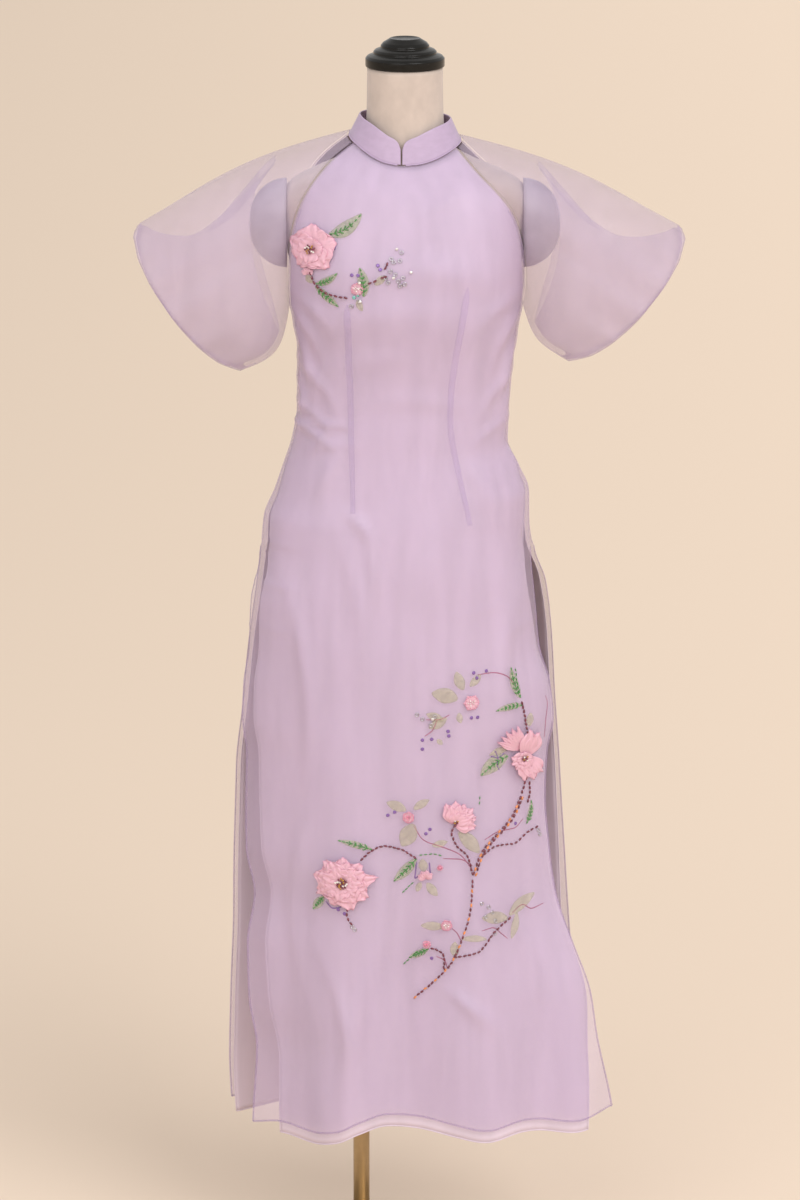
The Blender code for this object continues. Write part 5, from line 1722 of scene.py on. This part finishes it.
class TUNIC_OT_leaves(bpy.types.Operator):
    """Stitched leaves and the faint printed ones"""

    bl_idname = "tunic.leaves"
    bl_label = "Leaves"

    def execute(self, context):
        hue = colours()
        green = silk_floss("green leaf floss", hue.leaf_thread)
        blade = printed_silk("pale green leaf dye", hue.leaf_blade, 0.28)
        olive = printed_silk("olive leaf dye", hue.printed_leaf, 0.30)
        stitched = [row for row in LEAVES if row[6]]
        printed = [row for row in LEAVES if not row[6]]
        stitches = np.concatenate([leaf_stitches(row) for row in stitched])
        step, width, length = MIDRIB_STITCH * 1.1, THREAD * 2, MIDRIB_STITCH * 0.92
        runs = [
            string_places(points, step, width, length, MIDRIB_LIFT, 0.0, 400 + order)
            for order, points in enumerate(GREEN_RUNS.values())
        ]
        stitches = np.concatenate([stitches, *runs])
        add_piece("leaf_stitches", *repeated(bead_shape(6, 4), stitches), green, "petals")
        kinds = (("stitched_blades", stitched, blade), ("printed_leaves", printed, olive))
        for name, rows, finish in kinds:
            made = add_piece(name, *joined([leaf_blade(row, 0.0004) for row in rows]), finish, "petals")
            thicken(made, 0.00012)
        return {"FINISHED"}


class TUNIC_OT_trimmings(bpy.types.Operator):
    """Small beaded flowers, buds, ring sequins, dots and pearls"""

    bl_idname = "tunic.trimmings"
    bl_label = "Sequins, dots and buds"

    def execute(self, context):
        size, hue = sizes(), colours()
        pearl = glass_bead("small pearl bead", linear("#EFE3DD"), 0.22)
        pink = glass_bead("pink seed bead", linear("#E58AA6"), 0.25)
        purple = foil_sequin("purple sequin", hue.dot, 0.35)
        silver = foil_sequin("silver ring sequin", linear("#C9C6CC"), 0.9)
        crisp = petal_organza("small petal organza", hue.petal, hue.petal_heart)
        sea = foil_sequin("turquoise sequin", linear("#8FD9D2"), 0.5)
        for name, shape, table, axis, turns, radius, lift, finish in (
            ("sequin_dots", disc_shape(), DOTS, 0, 90, size.dot_radius, 0.0005, purple),
            ("ring_sequins", ring_shape(), RINGS, 1, 70, size.ring_radius, 0.0009, silver),
            ("turquoise_sequins", disc_shape(), TURQUOISE, 0, 1, 0.0024, 0.0009, sea),
            ("loose_pearls", bead_shape(10, 8), RING_PEARLS, 0, 1, 0.0019, 0.0021, pearl),
        ):
            at = np.array(table)
            places = places_on_front(at[:, 0], at[:, 1], at[:, axis] * turns, radius, lift)
            add_piece(name, *repeated(shape, places), finish, "petals")
        petal_parts, pink_places, white_places = [], [], []
        for order, (x, z, radius, count, white) in enumerate(SMALL_FLOWERS):
            rows = ((count, radius, radius * 0.48, 12.0, 25.0 * order, 360.0, 0.0, 0.0),)
            petal_parts.append(petals(x, z, rows, 900 + 40 * order))
            bx, bz, turn = scattered(x, z, radius * 0.42, 7, 60 + order)
            target = white_places if white else pink_places
            target.append(places_on_front(bx, bz, turn, 0.0010, 0.0028))
            rim = np.arange(count * 3) * 2 * math.pi / (count * 3)
            rx, rz = x + radius * 0.80 * np.cos(rim), z + radius * 0.80 * np.sin(rim)
            pink_places.append(places_on_front(rx, rz, rim, 0.0008, 0.0022))
        for order, (x, z, radius) in enumerate(BUDS):
            rows = (
                (4, radius * 1.2, radius * 0.55, 30.0, 40.0, 120.0, 0.0, 0.0),
                (3, radius, radius * 0.5, 40.0, 55.0, 80.0, 0.0, 0.0),
            )
            petal_parts.append(petals(x, z, rows, 700 + 40 * order))
        points, faces = joined([part[:2] for part in petal_parts])
        uv = np.concatenate([part[2] for part in petal_parts])
        made = add_piece("small_flowers", points, faces, crisp, "petals", (), uv)
        thicken(made, PETAL_THICKNESS)
        small = bead_shape(6, 4)
        for name, places, finish in (("pink", pink_places, pink), ("white", white_places, pearl)):
            beads = repeated(small, np.concatenate(places))
            add_piece(f"small_flower_{name}_beads", *beads, finish, "petals")
        return {"FINISHED"}


# ---- dress form and stand -----------------------------------------------------------------------
FORM_SIDES = 160
FORM_LEVELS = 120


def form_sides(z):
    """Left and right sides and front and back depths of the form at each height."""
    at = np.maximum(z, FORM_HIP)
    left = read(FRONT_SECTIONS, SECTION_COLUMNS, "left", at) + FORM_EASE
    right = read(FRONT_SECTIONS, SECTION_COLUMNS, "right", at) - FORM_EASE
    front = read(FRONT_SECTIONS, SECTION_COLUMNS, "middle", at) - FORM_EASE
    back = read(BACK_SECTIONS, SECTION_COLUMNS, "middle", at) - FORM_EASE
    half, high_front, high_back = (read(SHOULDERS, SHOULDER_COLUMNS, n, z) for n in SHOULDER_COLUMNS[1:])
    blend = smoothstep((z - SHOULDER_START) / (SHOULDERS[0][0] - SHOULDER_START))
    return (
        left * (1 - blend) + (CENTRE - half) * blend,
        right * (1 - blend) + (CENTRE + half) * blend,
        front * (1 - blend) + high_front * blend,
        back * (1 - blend) + high_back * blend,
    )


class TUNIC_OT_form(bpy.types.Operator):
    """The padded torso and neck in jersey, its turned cap and the plates where arms would join"""

    bl_idname = "tunic.form"
    bl_label = "Dress form"

    def execute(self, context):
        hue = colours()
        jersey = cotton_jersey("cotton jersey", hue.form)
        lacquer = black_lacquer("black lacquer", hue.cap)
        enamel = enamelled_plate("satin enamel", hue.plate)
        turn = np.linspace(0.0, 2 * math.pi, FORM_SIDES, endpoint=False)[None, :]
        power = 2 / SECTION_POWER
        z = np.linspace(FORM_BOTTOM, NECK_TOP, FORM_LEVELS)[:, None]
        round_neck = smoothstep((z - NECK_ROUND_START) / NECK_ROUND_RISE)
        power = power + (1 - power) * round_neck
        cos = np.sign(np.cos(turn)) * np.abs(np.cos(turn)) ** power
        sin = np.sign(np.sin(turn)) * np.abs(np.sin(turn)) ** power
        left, right, front, back = form_sides(z)
        tuck = 1.0 - FORM_TUCK * smoothstep((FORM_HIP - z) / (FORM_HIP - FORM_BOTTOM)) ** 2
        x = (left + right) / 2 + (right - left) / 2 * cos * tuck
        y = np.where(sin < 0, front, back) * sin * tuck
        flat = CENTRE + np.clip(x - CENTRE, -FORM_SHOULDER_FACE, FORM_SHOULDER_FACE)
        x = np.where(z > UNDERARM, flat, x)
        rings = np.stack([x, y, z + 0 * x], axis=-1)
        add_piece("form_cover", *ring_solid(rings), jersey, "form_cover", ("form_torso",))
        centre = (CENTRE, 0.0, NECK_TOP + GAP)
        cap = add_piece(
            "form_cap_turned", *turned_solid(CAP_PROFILE, centre, 96), lacquer, "cap_lacquer", ("form_cap",)
        )
        rounded(cap, "rubbed edges", 0.0006, 3, 20)
        for which, sign in (("left", -1.0), ("right", 1.0)):
            share = np.sin(np.linspace(0.0, math.pi / 2, 14))[:, None]
            size = np.sqrt(1 - share**2) * (1 - PLATE_TIP) + PLATE_TIP
            angle = np.linspace(0.0, 2 * math.pi, 72, endpoint=False)[None, :] * sign
            plate = np.stack(
                [
                    CENTRE + sign * (FORM_SHOULDER_FACE + GAP + share * PLATE_OUT) + 0 * angle,
                    PLATE_HALF[0] * size * np.cos(angle),
                    PLATE_CENTRE + PLATE_HALF[1] * size * np.sin(angle),
                ],
                axis=-1,
            )
            node = "form_arm_plate_" + which
            add_piece(node + "_domed", *ring_solid(plate), enamel, "arm_plate", (node,))
        return {"FINISHED"}


class TUNIC_OT_stand(bpy.types.Operator):
    """The pole, its boss and the weighted base"""

    bl_idname = "tunic.stand"
    bl_label = "Stand"

    def execute(self, context):
        brass = brushed_brass("brushed brass plate", colours().stand)
        floor = (POLE_X, 0.0, 0.0)
        boss_low = BASE_HEIGHT + GAP
        boss_top = boss_low + BOSS_HEIGHT
        profiles = {
            "stand_base": (
                (BASE_RADIUS - 0.0006, 0.0),
                (BASE_RADIUS, 0.0006),
                (BASE_RADIUS, BASE_HEIGHT - BASE_EDGE),
                (BASE_RADIUS - BASE_EDGE * 0.3, BASE_HEIGHT - BASE_EDGE * 0.3),
                (BASE_RADIUS - BASE_EDGE, BASE_HEIGHT),
                (BASE_RADIUS * 0.5, BASE_HEIGHT),
            ),
            "stand_boss": (
                (BOSS_RADIUS, boss_low),
                (BOSS_RADIUS, boss_low + BOSS_HEIGHT * 0.3),
                (BOSS_RADIUS - 0.002, boss_low + BOSS_HEIGHT * 0.42),
                (POLE_RADIUS + 0.006, boss_low + BOSS_HEIGHT * 0.62),
                (POLE_RADIUS + 0.003, boss_top - 0.002),
                (POLE_RADIUS + 0.002, boss_top),
            ),
            "stand_pole": ((POLE_RADIUS, boss_top + GAP), (POLE_RADIUS, FORM_BOTTOM - GAP)),
        }
        for node, profile in profiles.items():
            made = add_piece(
                node + "_turned", *turned_solid(profile, floor, 96), brass, "stand_metal", (node,)
            )
            rounded(made, "softened edges", 0.0005, 2, 25)
        return {"FINISHED"}


# ---- stage --------------------------------------------------------------------------------------
FLOOR_HALF = 60.0
WORLD_STRENGTH = 0.72
FRONT_LIGHT = {"place": (-0.9, -2.8, 2.75), "aim": (0.0, 0.0, 1.1), "side": 2.2, "power": 29.0}
KEY_STRENGTH = 1.30
KEY_SPREAD_DEG = 34.0  # how wide the sun is, which softens its shadows
KEY_DIRECTION = (-0.42, 0.62, -0.60)  # the way that its light goes
KEY_PLACE = (2.4, -3.4, 3.6)


def soft_light(name, place, aim, side, power):
    data = bpy.data.lights.new(name, "AREA")
    data.shape = "SQUARE"
    data.size = side
    data.energy = power
    made = linked(name, data)
    made.location = place
    made.rotation_euler = (Vector(aim) - Vector(place)).to_track_quat("-Z", "Y").to_euler()
    return made


class TUNIC_OT_stage(bpy.types.Operator):
    """Pale floor with painted light to one side, soft studio light and the camera"""

    bl_idname = "tunic.stage"
    bl_label = "Stage"

    def execute(self, context):
        scene = bpy.context.scene
        mesh = bpy.data.meshes.new("floor")
        corners = [(x * FLOOR_HALF, y * FLOOR_HALF, 0.0) for x, y in ((-1, -1), (1, -1), (1, 1), (-1, 1))]
        mesh.from_pydata(corners, [], [(0, 1, 2, 3)])
        mesh.materials.append(studio_paper("studio paper", colours().floor))
        linked("floor", mesh)
        soft_light("front light", **FRONT_LIGHT)
        key = bpy.data.lights.new("key light", "SUN")
        key.energy = KEY_STRENGTH
        key.angle = math.radians(KEY_SPREAD_DEG)
        sun = linked("key light", key)
        sun.location = KEY_PLACE
        sun.rotation_euler = Vector(KEY_DIRECTION).to_track_quat("-Z", "Y").to_euler()
        world = bpy.data.worlds.new("studio")
        world.use_nodes = True
        background = world.node_tree.nodes["Background"]
        background.inputs[0].default_value = (*linear("#FFFDFB"), 1.0)
        background.inputs[1].default_value = WORLD_STRENGTH
        scene.world = world
        data = bpy.data.cameras.new("camera")
        data.lens = CAMERA_LENS_MM
        camera = linked("camera", data)
        camera.location = CAMERA_PLACE
        camera.rotation_euler = (math.radians(90.0 - CAMERA_DOWN_DEG), 0.0, 0.0)
        scene.camera = camera
        scene.view_settings.view_transform = "Standard"
        scene.cycles.transparent_max_bounces = 32
        return {"FINISHED"}


class TUNIC_PT_panel(bpy.types.Panel):
    """Lists the pieces, sizes and colours"""

    bl_label = "Tunic"
    bl_idname = "TUNIC_PT_panel"
    bl_space_type = "VIEW_3D"
    bl_region_type = "UI"
    bl_category = "Tunic"

    def draw(self, context):
        for kind in OPERATORS:
            self.layout.operator(kind.bl_idname)
        for group in (context.scene.tunic_sizes, context.scene.tunic_colours):
            for name in type(group).__annotations__:
                self.layout.prop(group, name)


OPERATORS = (
    TUNIC_OT_stage,
    TUNIC_OT_form,
    TUNIC_OT_panels,
    TUNIC_OT_lining,
    TUNIC_OT_seams,
    TUNIC_OT_sleeves,
    TUNIC_OT_collar,
    TUNIC_OT_flowers,
    TUNIC_OT_branches,
    TUNIC_OT_leaves,
    TUNIC_OT_trimmings,
    TUNIC_OT_stand,
)
CLASSES = (TunicSizes, TunicColours, *OPERATORS, TUNIC_PT_panel)


def register():
    for kind in CLASSES:
        bpy.utils.register_class(kind)
    bpy.types.Scene.tunic_sizes = bpy.props.PointerProperty(type=TunicSizes)
    bpy.types.Scene.tunic_colours = bpy.props.PointerProperty(type=TunicColours)


def unregister():
    del bpy.types.Scene.tunic_colours
    del bpy.types.Scene.tunic_sizes
    for kind in reversed(CLASSES):
        bpy.utils.unregister_class(kind)


def main():
    register()
    for kind in OPERATORS:
        group, name = kind.bl_idname.split(".")
        getattr(getattr(bpy.ops, group), name)()


if __name__ == "__main__":
    main()
